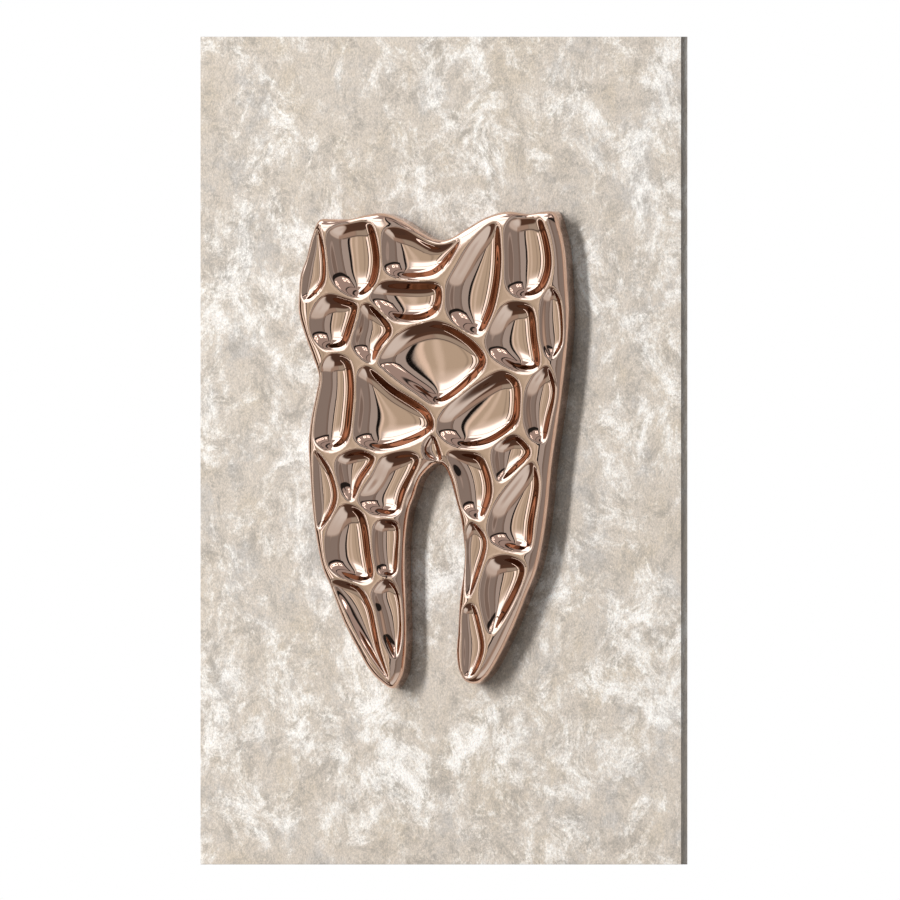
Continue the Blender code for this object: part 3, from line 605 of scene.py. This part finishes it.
def ridgePoints(outline, rims):
    # rows along the border, rows outside each rim, and a staggered grid over what is left
    step = tooth["ridgeSpacing"]
    turns = np.radians(tooth["edgeAngles"])
    rows = tooth["edgeWidth"] * (1 - np.cos(turns) ** (2 / tooth["edgePower"]))
    border = np.vstack([movedIn(outline, row) for row in rows])
    lips = np.vstack([movedIn(rim, -row) for rim in rims for row in tooth["lipRows"]])
    low, high = outline.min(0), outline.max(0)
    down = np.arange(low[1], high[1], step * math.sqrt(0.75))
    across = np.arange(low[0], high[0], step)
    x, z = np.meshgrid(across, down)
    x = x + (np.arange(len(down)) % 2)[:, None] * step / 2
    grid = np.stack([x.ravel(), z.ravel()], 1)
    kept = []
    for points, fromRim, fromEdge in (
        (border, tooth["lipRows"][-1] + 0.6, 0),
        (lips, tooth["lipRows"][0] - 0.05, 0.4),
        (grid, tooth["lipRows"][-1] + 0.7, tooth["edgeWidth"] * 0.7),
    ):
        points = points[inParts(isInside, points, outline[::3]) > 0]
        for rim in rims:
            clear = inParts(isInside, points, rim[::2]) == 0
            clear &= inParts(distanceTo, points, rim, 5, 5) > fromRim
            points = points[clear]
        if fromEdge:
            points = points[inParts(distanceTo, points, outline) > fromEdge]
        kept.append(points)
    return np.vstack(kept)


def ridgeNet(outline, rims):
    # the points of the outline, the rims and the ridges between them, the numbers of each loop's
    # points, and the triangles over the ridges
    points = np.vstack([outline, *rims, ridgePoints(outline, rims)])
    ends = np.cumsum([len(loop) for loop in (outline, *rims)])
    loops = np.split(np.arange(ends[-1]), ends[:-1])
    triangles = trianglesBetween(points, loops)
    doubtful = np.flatnonzero((triangles < ends[-1]).all(1))  # no corner of its own on a ridge
    middles = points[triangles[doubtful]].mean(1)
    outside = inParts(isInside, middles, outline) == 0
    for rim in rims:
        outside |= inParts(isInside, middles, rim) > 0
    return points, loops, np.delete(triangles, doubtful[outside], 0)


def dentRings(rim, centre):
    # the points of rings from a rim to its dent's middle, closest near the rim, and their count
    count = int(np.clip(0.55 * lengths(rim - centre).mean(), 11, 24))
    shares = 1 - (np.arange(1, count) / count) ** tooth["ringPower"]
    rings = centre + shares[:, None, None] * (rim - centre)
    return np.vstack([rings.reshape(-1, 2), centre]), count - 1


def sidesAndHollow(outline):
    # rows of the outline, each with its height, down the side, round the back edge and up the inner
    # wall to the roof of the hollow, and the triangles of that roof
    inner = movedIn(outline, tooth["castingWall"])
    folded = inParts(distanceTo, inner, outline) < tooth["castingWall"] - 0.05
    sound, count = np.flatnonzero(~folded), len(outline)
    for axis in (0, 1):  # bridges the places where the inner wall would fold over itself
        inner[:, axis] = np.interp(np.arange(count), sound, inner[sound, axis], period=count)
    edge = tooth["backEdge"]
    rows = [(outline, height) for height in tooth["sideRows"]]
    rows += [(movedIn(outline, 0.15 * edge), 0.4 * edge), (movedIn(outline, edge), 0)]
    rows += [(inner, 0), (inner, tooth["hollowDepth"])]
    roof = trianglesBetween(inner, [np.arange(count)])
    return rows, roof[inParts(isInside, inner[roof].mean(1), inner) > 0]


def toothRelief(material):
    # The front is a height over (x, z): crestHeight less the dentDrop of every dent. It is a net of
    # triangles over the ridges, with rings in the dents, and the border is carried on to the back.
    low, high = fitted(tooth["node"])[:2]
    outline = closedCurve(tooth["outline"], tooth["spacing"])
    size = (high - low)[[0, 2]] / (outline.max(0) - outline.min(0))
    middle = (high + low)[[0, 2]] / 2 - size * (outline.max(0) + outline.min(0)) / 2
    outline = outline * size + middle
    rims = [closedCurve(rim, tooth["spacing"]) * size + middle for rim in dents.values()]
    top = high[1] - low[1]
    print("tooth outline", len(outline), "points, rims", sum(len(rim) for rim in rims))

    ridge, loops, triangles = ridgeNet(outline, rims)
    shapes = [dentShape(rim) for rim in rims]
    height = crestHeight(ridge, outline, top)
    for rim, dent in zip(rims, shapes):
        away = inParts(distanceTo, ridge, rim, 5, 5)
        height -= dentDrop(ridge, -away, dent)
    flats, heights, faces = [ridge], [height], [triangles]
    start = len(ridge)
    for rim, dent, rimRow in zip(rims, shapes, loops[1:]):
        flat, rings = dentRings(rim, dent["centre"])
        inward = softDistanceTo(flat, rim)
        flats.append(flat)
        heights.append(crestHeight(flat, outline, top) - dentDrop(flat, inward, dent))
        walls, last = sleeve(rimRow, start, rings)
        start += len(flat)
        faces += [*walls, fan(last, start - 1)]

    rows, roof = sidesAndHollow(outline)
    flats += [row for row, level in rows]
    heights += [np.full(len(row), float(level)) for row, level in rows]
    walls, last = sleeve(loops[0], start, len(rows))
    faces += [*walls, last[roof]]
    points = raised(np.vstack(flats), high[1] - np.concatenate(heights))
    addPiece(tooth["node"], points, faces, material, name="toothRelief")


# the stone-effect coat

coat = {
    "node": "plaster_skin",
    "edgeRadius": 0.7,
    "edgeAngles": (20, 45, 70, 90),  # rows round that edge, degrees
    "backBevel": 0.3,
    "thickness": 2,
    "cell": 5,  # spacing of the face's grid
    "trowel": 0.12,  # depth of the trowelled hollows
    "calmEdge": 15,  # how far from the edge they come to that depth
}


def trowelled(x, z, edge):
    # how far the face is sunk: products of sines of x and z, less and less towards the edge
    wave = np.sin(x / 23 + 2 * np.sin(z / 61)) * np.sin(z / 37 + 1.7 * np.sin(x / 53))
    wave += 0.6 * np.sin(x / 11 + z / 19) * np.sin(z / 13 - x / 29)
    return coat["trowel"] * (1 + wave / 1.6) / 2 * np.clip(edge / coat["calmEdge"], 0, 1)


def stoneCoat(material):
    # A tray: a grid over the face, and rows carried round its border over the rounded edge, r sin t
    # outwards at r (1 - cos t), down the side, and back up the inner wall to the inside of the face.
    low, high = fitted(coat["node"])[:2]
    r = coat["edgeRadius"]
    nx, nz = (round((high[i] - low[i]) / coat["cell"]) for i in (0, 2))
    x = np.linspace(low[0] + r, high[0] - r, nx + 1)
    z = np.linspace(low[2] + r, high[2] - r, nz + 1)
    gx, gz = (g.ravel() for g in np.meshgrid(x, z))
    edge = np.minimum.reduce([gx - x[0], x[-1] - gx, gz - z[0], z[-1] - gz])
    grid = np.stack([gx, gz], 1)
    points = [raised(grid, low[1] + trowelled(gx, gz, edge))]
    ids = np.arange(len(gx)).reshape(nz + 1, nx + 1)
    faces = [np.stack([ids[:-1, :-1], ids[:-1, 1:], ids[1:, 1:], ids[1:, :-1]], 2).reshape(-1, 4)]
    ring = np.concatenate([ids[0, :-1], ids[:-1, -1], ids[-1, :0:-1], ids[:0:-1, 0]])
    border, corners = grid[ring], ((x[0], z[0]), (x[-1], z[-1]))
    out = (border == corners[1]) * 1.0 - (border == corners[0])
    turns = [math.radians(a) for a in coat["edgeAngles"]]
    rows = [(r * math.sin(t), low[1] + r * (1 - math.cos(t))) for t in turns]
    bevel, inside, floor = coat["backBevel"], r - coat["thickness"], low[1] + coat["thickness"]
    rows += [(r, high[1] - bevel), (r - bevel, high[1]), (inside, high[1]), (inside, floor)]
    points += [raised(border + outwards * out, y) for outwards, y in rows]
    walls, last = sleeve(ring, len(grid), len(rows))
    back = trianglesBetween(points[-1][:, [0, 2]], [np.arange(len(ring))])
    faces += [*walls, last[back]]
    addPiece(coat["node"], np.vstack(points), faces, material, name="stoneCoat")


# the frame and the hardware behind

boards = {
    "arris": {"pine": 1.3, "birch_plywood": 0.5},  # rounding of the sanded edges
    "corner": {"pine": 2.4, "birch_plywood": 3.6},  # where the rounding of an upright edge starts
    "arrisAngles": (0, 22, 45, 68, 90),
}


def board(node, slot, outline, material):
    # A board of an outline (x, z), clockwise, as thick as its node. Rows of the outline, moved in
    # by r (1 - sin t) at r (1 - cos t) from either face, round its arrises over.
    low, high = fitted(node)[:2]
    r = boards["arris"][slot]
    turns = [math.radians(a) for a in boards["arrisAngles"]]
    rows = [(r * (1 - math.sin(t)), low[1] + r * (1 - math.cos(t))) for t in turns]
    rows += [(inset, low[1] + high[1] - y) for inset, y in reversed(rows)]
    points = [raised(movedIn(outline, inset), y) for inset, y in rows]
    first = np.arange(len(outline))
    faces, last = sleeve(first, len(first), len(rows) - 1)
    caps = trianglesBetween(points[0][:, [0, 2]], [first])
    faces += [first[caps], last[caps]]
    addPiece(node, np.vstack(points), faces, material)


def softCorners(corners, radius, steps=4):
    # a clockwise outline of straight sides with each corner rounded by a curve through its middle
    corners = np.array(corners, float)
    before, after = np.roll(corners, 1, 0) - corners, np.roll(corners, -1, 0) - corners
    before *= radius / lengths(before)
    after *= radius / lengths(after)
    t = np.linspace(0, 1, steps + 1)[:, None, None]
    curves = corners + (1 - t) ** 2 * before + t ** 2 * after
    return curves.transpose(1, 0, 2).reshape(-1, 2)


def frameTimber(upright, level, veneer):
    # each rail, brace and block, a board of its own node's outline
    for part in frame["record"]["subparts"]:
        node = part["node"]
        if not node.startswith(("rail", "brace", "corner_block")):
            continue
        low, high, middle = fitted(node)
        corners = [(low[0], low[2]), (low[0], high[2]), (high[0], high[2]), (high[0], low[2])]
        if node.startswith("corner_block"):  # a right triangle, its square corner in the frame's
            reach = [middle[0] * x + middle[2] * z for x, z in corners]
            corners.pop(int(np.argmin(reach)))
            material = veneer
        else:
            material = upright if node in ("rail_left", "rail_right") else level
        slot = part["material_slot"]
        board(node, slot, softCorners(corners, boards["corner"][slot]), material)


def turned(node, rows, material, outline=None, sides=64):
    # A shape turned about the Y axis through its node's middle. Given an outline, a row is (radius,
    # y, share), and its reach is the radius times 1 - share + share * the outline's at each angle.
    # Without one the rows are (radius, y), and the last one closes on the first.
    middle, rows = fitted(node)[2], np.array(rows, float)
    angle = 2 * math.pi * np.arange(sides) / sides
    reach = np.repeat(rows[:, :1], sides, 1)
    if outline:
        reach *= 1 - rows[:, 2:] + rows[:, 2:] * outline(angle)
    x, z = middle[0] + reach * np.cos(angle), middle[2] + reach * np.sin(angle)
    points = np.stack([x, np.repeat(rows[:, 1:2], sides, 1), z], 2).reshape(-1, 3)
    first = np.arange(sides)
    faces, last = sleeve(first, sides, len(rows) - 1)
    if not outline:
        faces.append(strips(last, first))
    addPiece(node, points, faces, material, sharpAngle=38)


def cross(angle):
    # the radius of a cross of unit reach: an arm's end, or its side 0.24 from the arm's axis
    off = np.abs((angle + math.pi / 4) % (math.pi / 2) - math.pi / 4)
    return np.minimum(1, 0.24 / np.maximum(np.sin(off), 0.2))


def hexagon(angle):
    # the radius of a hexagon whose corners reach 1
    return math.cos(math.pi / 6) / np.cos((angle + math.pi / 6) % (math.pi / 3) - math.pi / 6)


fasteners = {
    # height of the head, drive outline, its reach and depth, radius of the shaft
    "hanger_screw": (2.0, cross, 1.9, 1.3, 1.9),
    "bumper_screw": (1.8, cross, 1.8, 1.2, 1.7),
    "mounting_bolt": (3.6, hexagon, 2.3, 2.2, 2.7),
    "domePower": 2.6,
    "pitch": 1.2,
    "core": 0.8,  # the thread's least radius, as a share
    "point": 3,  # length without thread
}


def fastener(node, material):
    # A domed head, (r / R) ^ power + (y / h) ^ power = 1, with a drive sunk in its top, and a
    # threaded shaft that narrows to a point.
    tall, drive, reach, deep, shaft = fasteners["_".join(node.split("_")[:2])]
    low, high = fitted(node)[:2]
    radius, seat = (high[0] - low[0]) / 2, high[1] - tall
    power, pitch = fasteners["domePower"], fasteners["pitch"]

    def dome(r):
        return seat + tall * (1 - min(r / radius, 1) ** power) ** (1 / power)

    floor = high[1] - deep  # the drive, from its floor to its softened rim
    rows = [(0, floor, 0), (0.72 * reach, floor, 1), (0.9 * reach, high[1] - 0.5, 1)]
    rows += [(0.95 * reach, dome(0.8 * reach) - 0.12, 1), (1.04 * reach, dome(0.9 * reach), 1)]
    rows += [(r, dome(r), 0) for r in np.linspace(1.12 * reach, 0.93 * radius, 6)]
    rows += [(share * radius, dome(share * radius), 0) for share in (0.965, 0.988, 0.998)]
    rows += [(radius, seat, 0), (shaft, seat, 0)]
    for step in range(int((seat - low[1] - fasteners["point"]) / pitch)):
        y = seat - pitch * (step + 0.5)
        rows += [(fasteners["core"] * shaft, y, 0), (shaft, y - pitch / 2, 0)]
    rows += [(0.5 * shaft, low[1] + 1, 0), (0, low[1], 0)]
    turned(node, rows, material, drive)


bumper = {
    "bore": 2.0,
    "recess": 4.0,
    "recessDepth": 3.0,
    "taper": 1.0,  # how much narrower it is at the wall
    "grooves": (1.6, 2.6),  # heights of two moulded rings
    "groove": 0.4,  # their depth, and half their width
    "softening": 0.19,  # of the edges
}


def wallBumper(node, material):
    # A cone frustum with a screw hole and a recess for the screw's head, its side cut by grooves
    # and its edges softened: the corners of its section (radius, y) turned about the axis.
    low, high = fitted(node)[:2]
    radius, deep = (high[0] - low[0]) / 2, bumper["groove"]
    slope = bumper["taper"] / (high[1] - low[1])
    floor = high[1] - bumper["recessDepth"]
    corners = [(bumper["bore"], low[1]), (bumper["bore"], floor), (bumper["recess"], floor),
               (bumper["recess"], high[1]), (radius - bumper["taper"], high[1])]
    for height in reversed(bumper["grooves"]):
        y = low[1] + height
        edge = radius - slope * height
        corners += [(edge, y + deep), (edge - deep, y), (edge, y - deep)]
    corners += [(radius, low[1])]
    turned(node, softCorners(corners, bumper["softening"], 2), material)


def washer(node, material, bore=3.0, rounding=0.3):
    # a flat ring, its section (radius, y) an oblong with rounded corners
    low, high = fitted(node)[:2]
    radius = (high[0] - low[0]) / 2
    corners = [(bore, low[1]), (bore, high[1]), (radius, high[1]), (radius, low[1])]
    turned(node, softCorners(corners, rounding, 3), material)


hanger = {
    "wire": 1.6,  # radius of the ring's wire
    "halfWidth": 11,
    "halfBar": 8,
    "corner": 3,
    "wireAngles": np.radians(np.arange(0, 360, 15)),  # of the points round the wire
    "weld": 0.14,  # how much the butt weld swells the wire, as a share
    "weldAt": (-7, 0.8),  # its height from the bar's middle, and how far it tapers to either side
    "strap": 1.2,  # thickness
    "eye": 2.5,  # from the ring's axis to the middle of the strap's thickness
    "eyeEnd": -60,  # where the curl stops, degrees above the level towards the wall
    "strapCorner": 4,
    "edge": 0.35,
}


def ringPath():
    # The middle of a D's wire as (x, z) from the bar's middle, clockwise: a small corner, a side, a
    # half circle, the other side and corner, and the bar.
    w, bar, c = hanger["halfWidth"], hanger["halfBar"], hanger["corner"]
    corner = np.radians(np.linspace(0, 90, 9))
    corner = np.stack([bar + c * np.sin(corner), -c + c * np.cos(corner)], 1)
    side = np.linspace(-c - 0.6, -w + 0.6, 14)
    side = np.stack([np.full_like(side, w), side], 1)
    bow = np.radians(np.linspace(0, 180, 49))
    bow = np.stack([w * np.cos(bow), -w - w * np.sin(bow)], 1)
    level = np.linspace(-bar + 0.8, bar - 0.8, 12)
    level = np.stack([level, np.zeros_like(level)], 1)
    toLeft = (-1, 1)
    return np.vstack([corner, side, bow, side[::-1] * toLeft, corner[::-1] * toLeft, level])


def ringWire(node, body, material):
    # A round wire bent to a D: a point is the path's, plus the wire's radius times cos t outwards
    # and sin t along Y. At the weld, on the right side, a bell curve of the height swells the radius.
    high, middle = fitted(node)[1:]
    axis, path = high[2] - hanger["wire"], ringPath()
    height, taper = hanger["weldAt"]
    onSide = path[:, 0] > hanger["halfWidth"] - 0.1
    away = np.where(onSide, np.abs(path[:, 1] - height), np.inf)
    swell = hanger["wire"] * (1 + hanger["weld"] * np.exp(-(away / taper) ** 2))
    turns = hanger["wireAngles"][:, None]
    flat = path - (swell * np.cos(turns))[..., None] * inwards(path)
    y = middle[1] + swell * np.sin(turns)
    points = np.stack([middle[0] + flat[..., 0], y, axis + flat[..., 1]], 2).reshape(-1, 3)
    first = np.arange(len(path))
    faces, last = sleeve(first, len(path), len(turns) - 1)
    faces.append(strips(last, first))
    addPiece(node, points, faces, material, body)


def strapLine(low, high):
    # The middle line of the strap as (y, z), its normals and its half widths: from the rounded
    # lower end straight up the rail, and round the axis of the ring's bar.
    half = (high[0] - low[0]) / 2
    eye, corner, t = hanger["eye"], hanger["strapCorner"], hanger["strap"] / 2
    axisY, axisZ = low[1] + t + eye, high[2] - eye - t
    lower = corner * (1 - np.cos(np.radians(np.linspace(0, 90, 9))))
    rise = np.concatenate([low[2] + lower, np.linspace(low[2] + corner + 2, axisZ - 0.5, 12)])
    narrow = np.maximum(corner - (rise - low[2]), 0)
    widths = half - corner + np.sqrt(corner ** 2 - narrow ** 2)
    curl = np.radians(np.linspace(180, hanger["eyeEnd"], 33))
    curl = np.stack([np.cos(curl), np.sin(curl)], 1)
    widths = np.concatenate([widths, np.full(len(curl), half)])
    straight = np.stack([np.full(len(rise), axisY - eye), rise], 1)
    line = np.vstack([straight, (axisY, axisZ) + eye * curl])
    return line, np.vstack([np.tile((-1.0, 0.0), (len(rise), 1)), curl]), widths


def hangerStrap(node, material):
    # A steel strip, flat up the rail and curled over the ring's bar. Its section is a rounded
    # oblong carried along the strip's middle line: a point is the line's, plus or minus the width
    # there along X, plus the section's lift along the line's normal.
    low, high, middle = fitted(node)
    line, normal, widths = strapLine(low, high)
    e, t = hanger["edge"], hanger["strap"] / 2
    edge = [(-e, -t), (-0.1, -t + 0.1), (0, -t + e), (0, t - e), (-0.1, t - 0.1), (-e, t)]
    section = [(-1, *point) for point in edge] + [(1, *point) for point in edge[::-1]]
    side, inset, lift = np.array(section).T
    x = middle[0] + side * (widths[:, None] + inset)
    flat = line[:, None] + lift[:, None] * normal[:, None]
    points = np.concatenate([x[..., None], flat], 2).reshape(-1, 3)
    first = np.arange(len(section))
    faces, last = sleeve(first, len(first), len(line) - 1)
    for row in (first, last):
        faces.append(fan(row, len(points)))
        points = np.vstack([points, points[row].mean(0)])
    addPiece(node, points, faces, material)


def backHardware(steel, black):
    for part in frame["record"]["subparts"]:
        node = part["node"]
        if node.startswith(("hanger_screw", "bumper_screw", "mounting_bolt")):
            fastener(node, steel)
        elif node.startswith("wall_bumper"):
            wallBumper(node, black)
        elif node.startswith("bolt_washer"):
            washer(node, steel)
        elif node.startswith("hanger_plate"):
            hangerStrap(node, steel)
    for side in ("left", "right"):
        ringWire("d_ring_" + side, "ring_" + side, steel)


# light, floor and camera

studio = {
    "cameraTurn": 14.5,  # degrees to the right of the front
    "cameraDistance": 3.0,
    "viewWidth": 1.0873,
    "viewCentre": (0.0036, 0.0007),  # right and up of the origin, in the picture's plane
    "keyFrom": (-30, 15),  # degrees to the left and above
    "keyDistance": 10.0,
    "keySize": (1.2, 5.6),  # a tall window, so that the shadows are soft at their upper and lower ends
    "keyShare": 0.77,  # of the plain level, on the panel's face
    "keySlant": 0.83,  # about the cosine of the angle at which that light meets the face
    "backFrom": (0, 3, 1.6),
    "backSize": (0.5, 0.5),
    "backShare": 0.75,
    "ambient": (0.03, 1.35),  # the soft light all round, and what an upright strip of it adds
    "strip": (-0.27, -0.02, 0.03),  # sines of the turns between which it stands, and its soft edge
    "floorDrop": 0.0005,  # below the object
    "floorReach": 4,
    "floorColour": (0.5, 0.49, 0.48, 1),
    "floorGlow": 0.72,  # brings it to white for the camera
    "againMost": (1.4, 1.4, 1.4, 1),  # the room in a reflection of a reflection: its brightest,
    "againShare": (0.46, 0.32, 0.24, 1),  # the share of it that is left,
    "againDark": (-36, 30, 5),  # the turns between which less is left, their soft edge,
    "againLoss": 0.5,  # how much less,
    "againPlus": (0.02, 0.01, 0.006, 1),  # and what is added
}


def heading(turn, rise):
    # the unit vector towards a direction: turn from -Y towards +X, rise above the level, degrees
    t, e = math.radians(turn), math.radians(rise)
    return Vector((math.sin(t) * math.cos(e), -math.cos(t) * math.cos(e), math.sin(e)))


def addCamera():
    turn = math.radians(studio["cameraTurn"])
    right, back = Vector((math.cos(turn), math.sin(turn), 0)), heading(studio["cameraTurn"], 0)
    across, up = studio["viewCentre"]
    data = bpy.data.cameras.new("camera")
    data.type = "ORTHO"
    data.ortho_scale = studio["viewWidth"]
    camera = addObject("camera", data)
    camera.location = across * right + Vector((0, 0, up)) + studio["cameraDistance"] * back
    camera.rotation_euler = (math.radians(90), 0, turn)
    bpy.context.scene.camera = camera


def addLamp(name, place, size, level):
    # an area lamp facing the origin; a face square to it gets this share of the plain level
    data = bpy.data.lights.new(name, "AREA")
    data.shape = "RECTANGLE"
    data.size, data.size_y = size
    data.energy = math.pi ** 2 * place.length_squared * level
    lamp = addObject(name, data)
    lamp.location = place
    lamp.rotation_euler = place.to_track_quat("Z", "Y").to_euler()
    lamp.visible_glossy = False  # the plating mirrors the painted room instead


room = {  # what the polished plating mirrors
    "plain": (0.24, 0.22, 0.21),
    # (from, to) in degrees round from the front to the right, (from, to) above the level, a colour
    # or grey, and the width of its soft edge; a later one covers an earlier one
    "frontWall": ((-12, 27), (-20, 78), (0.45, 0.47, 0.48), 3),
    "underRight": ((-12, 125), (-76, -20), (0.41, 0.36, 0.32), 5),
    "underLeft": ((-180, -12), (-90, -19), (0.42, 0.42, 0.38), 3),
    "underDark": ((-180, 22), (-90, -38), (0.10, 0.062, 0.045), 4),
    "leftSide": ((-180, -76), (-70, 14), (0.08, 0.05, 0.036), 5),
    "nearGround": ((-180, 180), (-90, -60), (0.085, 0.055, 0.042), 3),
    "ceiling": ((-180, 180), (56, 90), (0.40, 0.37, 0.37), 3),
    "rightShape": ((36, 72), (-20, 20), 0.29, 3),
    "rightOutline": ((72, 75), (-30, 30), 0.42, 1.5),
    "rightWall": ((86, 112), (-22, 26), (0.66, 0.58, 0.50), 7),
    "underPale": ((38, 84), (-40, -21), (0.64, 0.67, 0.67), 4),
    "underStreak": ((26, 76), (-60, -35), (0.76, 0.85, 0.89), 8),
    "canvas": ((-78, -3), (-19, 12), (0.57, 0.56, 0.48), 1.5),
    "canvasFold": ((-27, -24), (-19, 12), (0.42, 0.41, 0.35), 1.5),
    "canvasEdge": ((-14, -10), (-19, 8), (0.74, 0.74, 0.67), 1.6),
    "glow": ((-60, -8), (9, 36), (1.1, 1.15, 1.15), 6),
    "windowLow": ((-50, -10), (13, 52), (1.8, 2.05, 2.2), 3),
    "stripLeft": ((-54, -42), (-18, 20), (1.5, 1.55, 1.6), 0.8),
    "windowHigh": ((-110, -44), (28, 74), (2.2, 2.5, 2.7), 1.5),
    "stripFar": ((-73, -69), (-60, 26), 1.6, 0.8),
    "windowBar": ((-110, -10), (33, 35), 0.10, 0.6),
    "windowPost": ((-62, -59.5), (-40, 74), 0.05, 0.6),
    "brightEdge": ((-5.8, -3.6), (-18, 75), (0.92, 0.90, 0.83), 0.9),
    "postRight": ((-2.4, 1.4), (-19, 75), 0.01, 0.7),
    "postLeft": ((-41, -37), (-14, 16), 0.02, 0.5),
    "skirting": ((-120, 18), (-21.5, -19.5), (0.16, 0.15, 0.14), 0.8),
    "doorPost": ((24, 27), (-20, 62), (0.12, 0.11, 0.10), 0.8),
    "topRail": ((-12, 120), (78, 84), 0.03, 0.8),
    "alcoveEdge": ((15, 88), (21, 66), 0.02, 0.6),
    "alcove": ((21, 81), (30, 64), (0.42, 0.39, 0.39), 1),
    "paneNear": ((31, 43), (35, 47), 3.0, 0.6),
    "paneNearGlass": ((33.5, 40.5), (37.5, 44.5), (0.42, 0.39, 0.39), 0.6),
    "paneFar": ((51, 63), (35, 47), 3.0, 0.6),
    "paneFarGlass": ((53.5, 60.5), (37.5, 44.5), (0.42, 0.39, 0.39), 0.6),
    "backRight": ((104, 180), (-60, 80), 0.70, 4),  # seen by the hardware behind
    "backLeft": ((-180, -104), (-60, 80), 0.70, 4),
    "backWindow": ((130, 168), (8, 62), 1.7, 4),
    "backShade": ((-172, -150), (-60, 70), 0.30, 4),
}


def between(tree, value, low, high, soft):
    # 1 from low to high, easing to 0 on either side
    up = ease(tree, value, low - soft, low + soft)
    return calc(tree, "MULTIPLY", up, ease(tree, value, high - soft, high + soft, 1.0, 0.0))


def roomColour(tree, turn, rise, again):
    # the patches over each other; where again is 1, darker and redder
    colour = (*room["plain"], 1)
    for name, patch in room.items():
        if name != "plain":
            turns, rises, light, soft = patch
            across, up = between(tree, turn, *turns, soft), between(tree, rise, *rises, soft)
            light = (*(np.ones(3) * light), 1)
            colour = mix(tree, calc(tree, "MULTIPLY", across, up), colour, light)
    later = mix(tree, 1.0, colour, studio["againMost"], "DARKEN")
    later = mix(tree, 1.0, later, studio["againShare"], "MULTIPLY")
    dark = between(tree, turn, *studio["againDark"])
    later = mix(tree, calc(tree, "MULTIPLY", dark, studio["againLoss"]), later, (0, 0, 0, 1))
    later = mix(tree, 1.0, later, studio["againPlus"], "ADD")
    return mix(tree, again, colour, later)


def paintWorld():
    # The world by direction: white to the camera, soft light to all that is matt, and the room to
    # what is polished.
    world = bpy.data.worlds.new("studio")
    bpy.context.scene.world = world
    world.use_nodes = True
    tree = world.node_tree
    direction = addNode(tree, "SeparateXYZ", {0: addNode(tree, "TexCoord").outputs["Generated"]})
    x, y, z = direction.outputs
    front = calc(tree, "MULTIPLY", y, -1.0)
    turn = calc(tree, "MULTIPLY", calc(tree, "ARCTAN2", x, front), 180 / math.pi)
    rise = calc(tree, "MULTIPLY", calc(tree, "ARCSINE", z), 180 / math.pi)
    path = addNode(tree, "LightPath").outputs
    again = calc(tree, "GREATER_THAN", path["Glossy Depth"], 1.5)
    colour = roomColour(tree, turn, rise, again)
    shown = calc(tree, "MAXIMUM", path["Is Camera Ray"], path["Is Transmission Ray"])
    everywhere, inStrip = studio["ambient"]
    level = calc(tree, "MULTIPLY_ADD", between(tree, x, *studio["strip"]), inStrip, everywhere)
    lit = addNode(tree, "CombineColor", {0: level, 1: level, 2: level}).outputs[0]
    mirrored = calc(tree, "LESS_THAN", path["Diffuse Depth"], 0.5)
    mirrored = calc(tree, "MULTIPLY", mirrored, path["Is Glossy Ray"])
    colour = mix(tree, mirrored, mix(tree, shown, lit, (1, 1, 1, 1)), colour)
    feed(tree.nodes["Background"], {"Color": colour})


def addFloor():
    z = cadBounds[0][2] - studio["floorDrop"]
    mesh = bpy.data.meshes.new("floor")
    r = studio["floorReach"]
    mesh.from_pydata([(-r, -r, z), (r, -r, z), (r, r, z), (-r, r, z)], [], [(0, 1, 2, 3)])
    floor = addObject("floor", mesh)
    material, tree, shader = newMaterial("paleFloor", 0.9)[:3]
    path = addNode(tree, "LightPath").outputs
    shown = calc(tree, "MAXIMUM", path["Is Camera Ray"], path["Is Glossy Ray"])
    feed(shader, {
        "Base Color": studio["floorColour"],
        "Specular IOR Level": 0.1,
        "Emission Color": (1, 1, 1, 1),
        "Emission Strength": calc(tree, "MULTIPLY", shown, studio["floorGlow"]),
    })
    mesh.materials.append(material)
    floor.visible_glossy = False  # the plating mirrors the painted room instead


def lightStudio():
    key = heading(*studio["keyFrom"]) * studio["keyDistance"]
    addLamp("keyLamp", key, studio["keySize"], studio["keyShare"] / studio["keySlant"])
    addLamp("backLamp", Vector(studio["backFrom"]), studio["backSize"], studio["backShare"])
    paintWorld()
    addFloor()
    bpy.context.scene.view_settings.view_transform = "Standard"


# build

addCamera()
lightStudio()
print("camera and light placed")
gold = roseGoldPlating()
toothRelief(gold)
print("tooth made")
stoneCoat(stonePlaster())
print("coat made")

steel = workedMetal("zincSteel")
upright = pineTimber("pineUpright", "Z")
level = pineTimber("pineLevel", "X")
veneer = birchPlywood()
frameTimber(upright, level, veneer)
print("timber made")
backHardware(steel, blackRubber())
print("hardware made")
finishes = {"birch_plywood": veneer, "zinc_plated_steel": steel,
            "brass_insert": workedMetal("brassInsert")}
for part in frame["record"]["subparts"]:
    node = bpy.data.objects.get(part["node"])
    if node and part["material_slot"] in finishes:
        node.data.materials.clear()
        node.data.materials.append(finishes[part["material_slot"]])
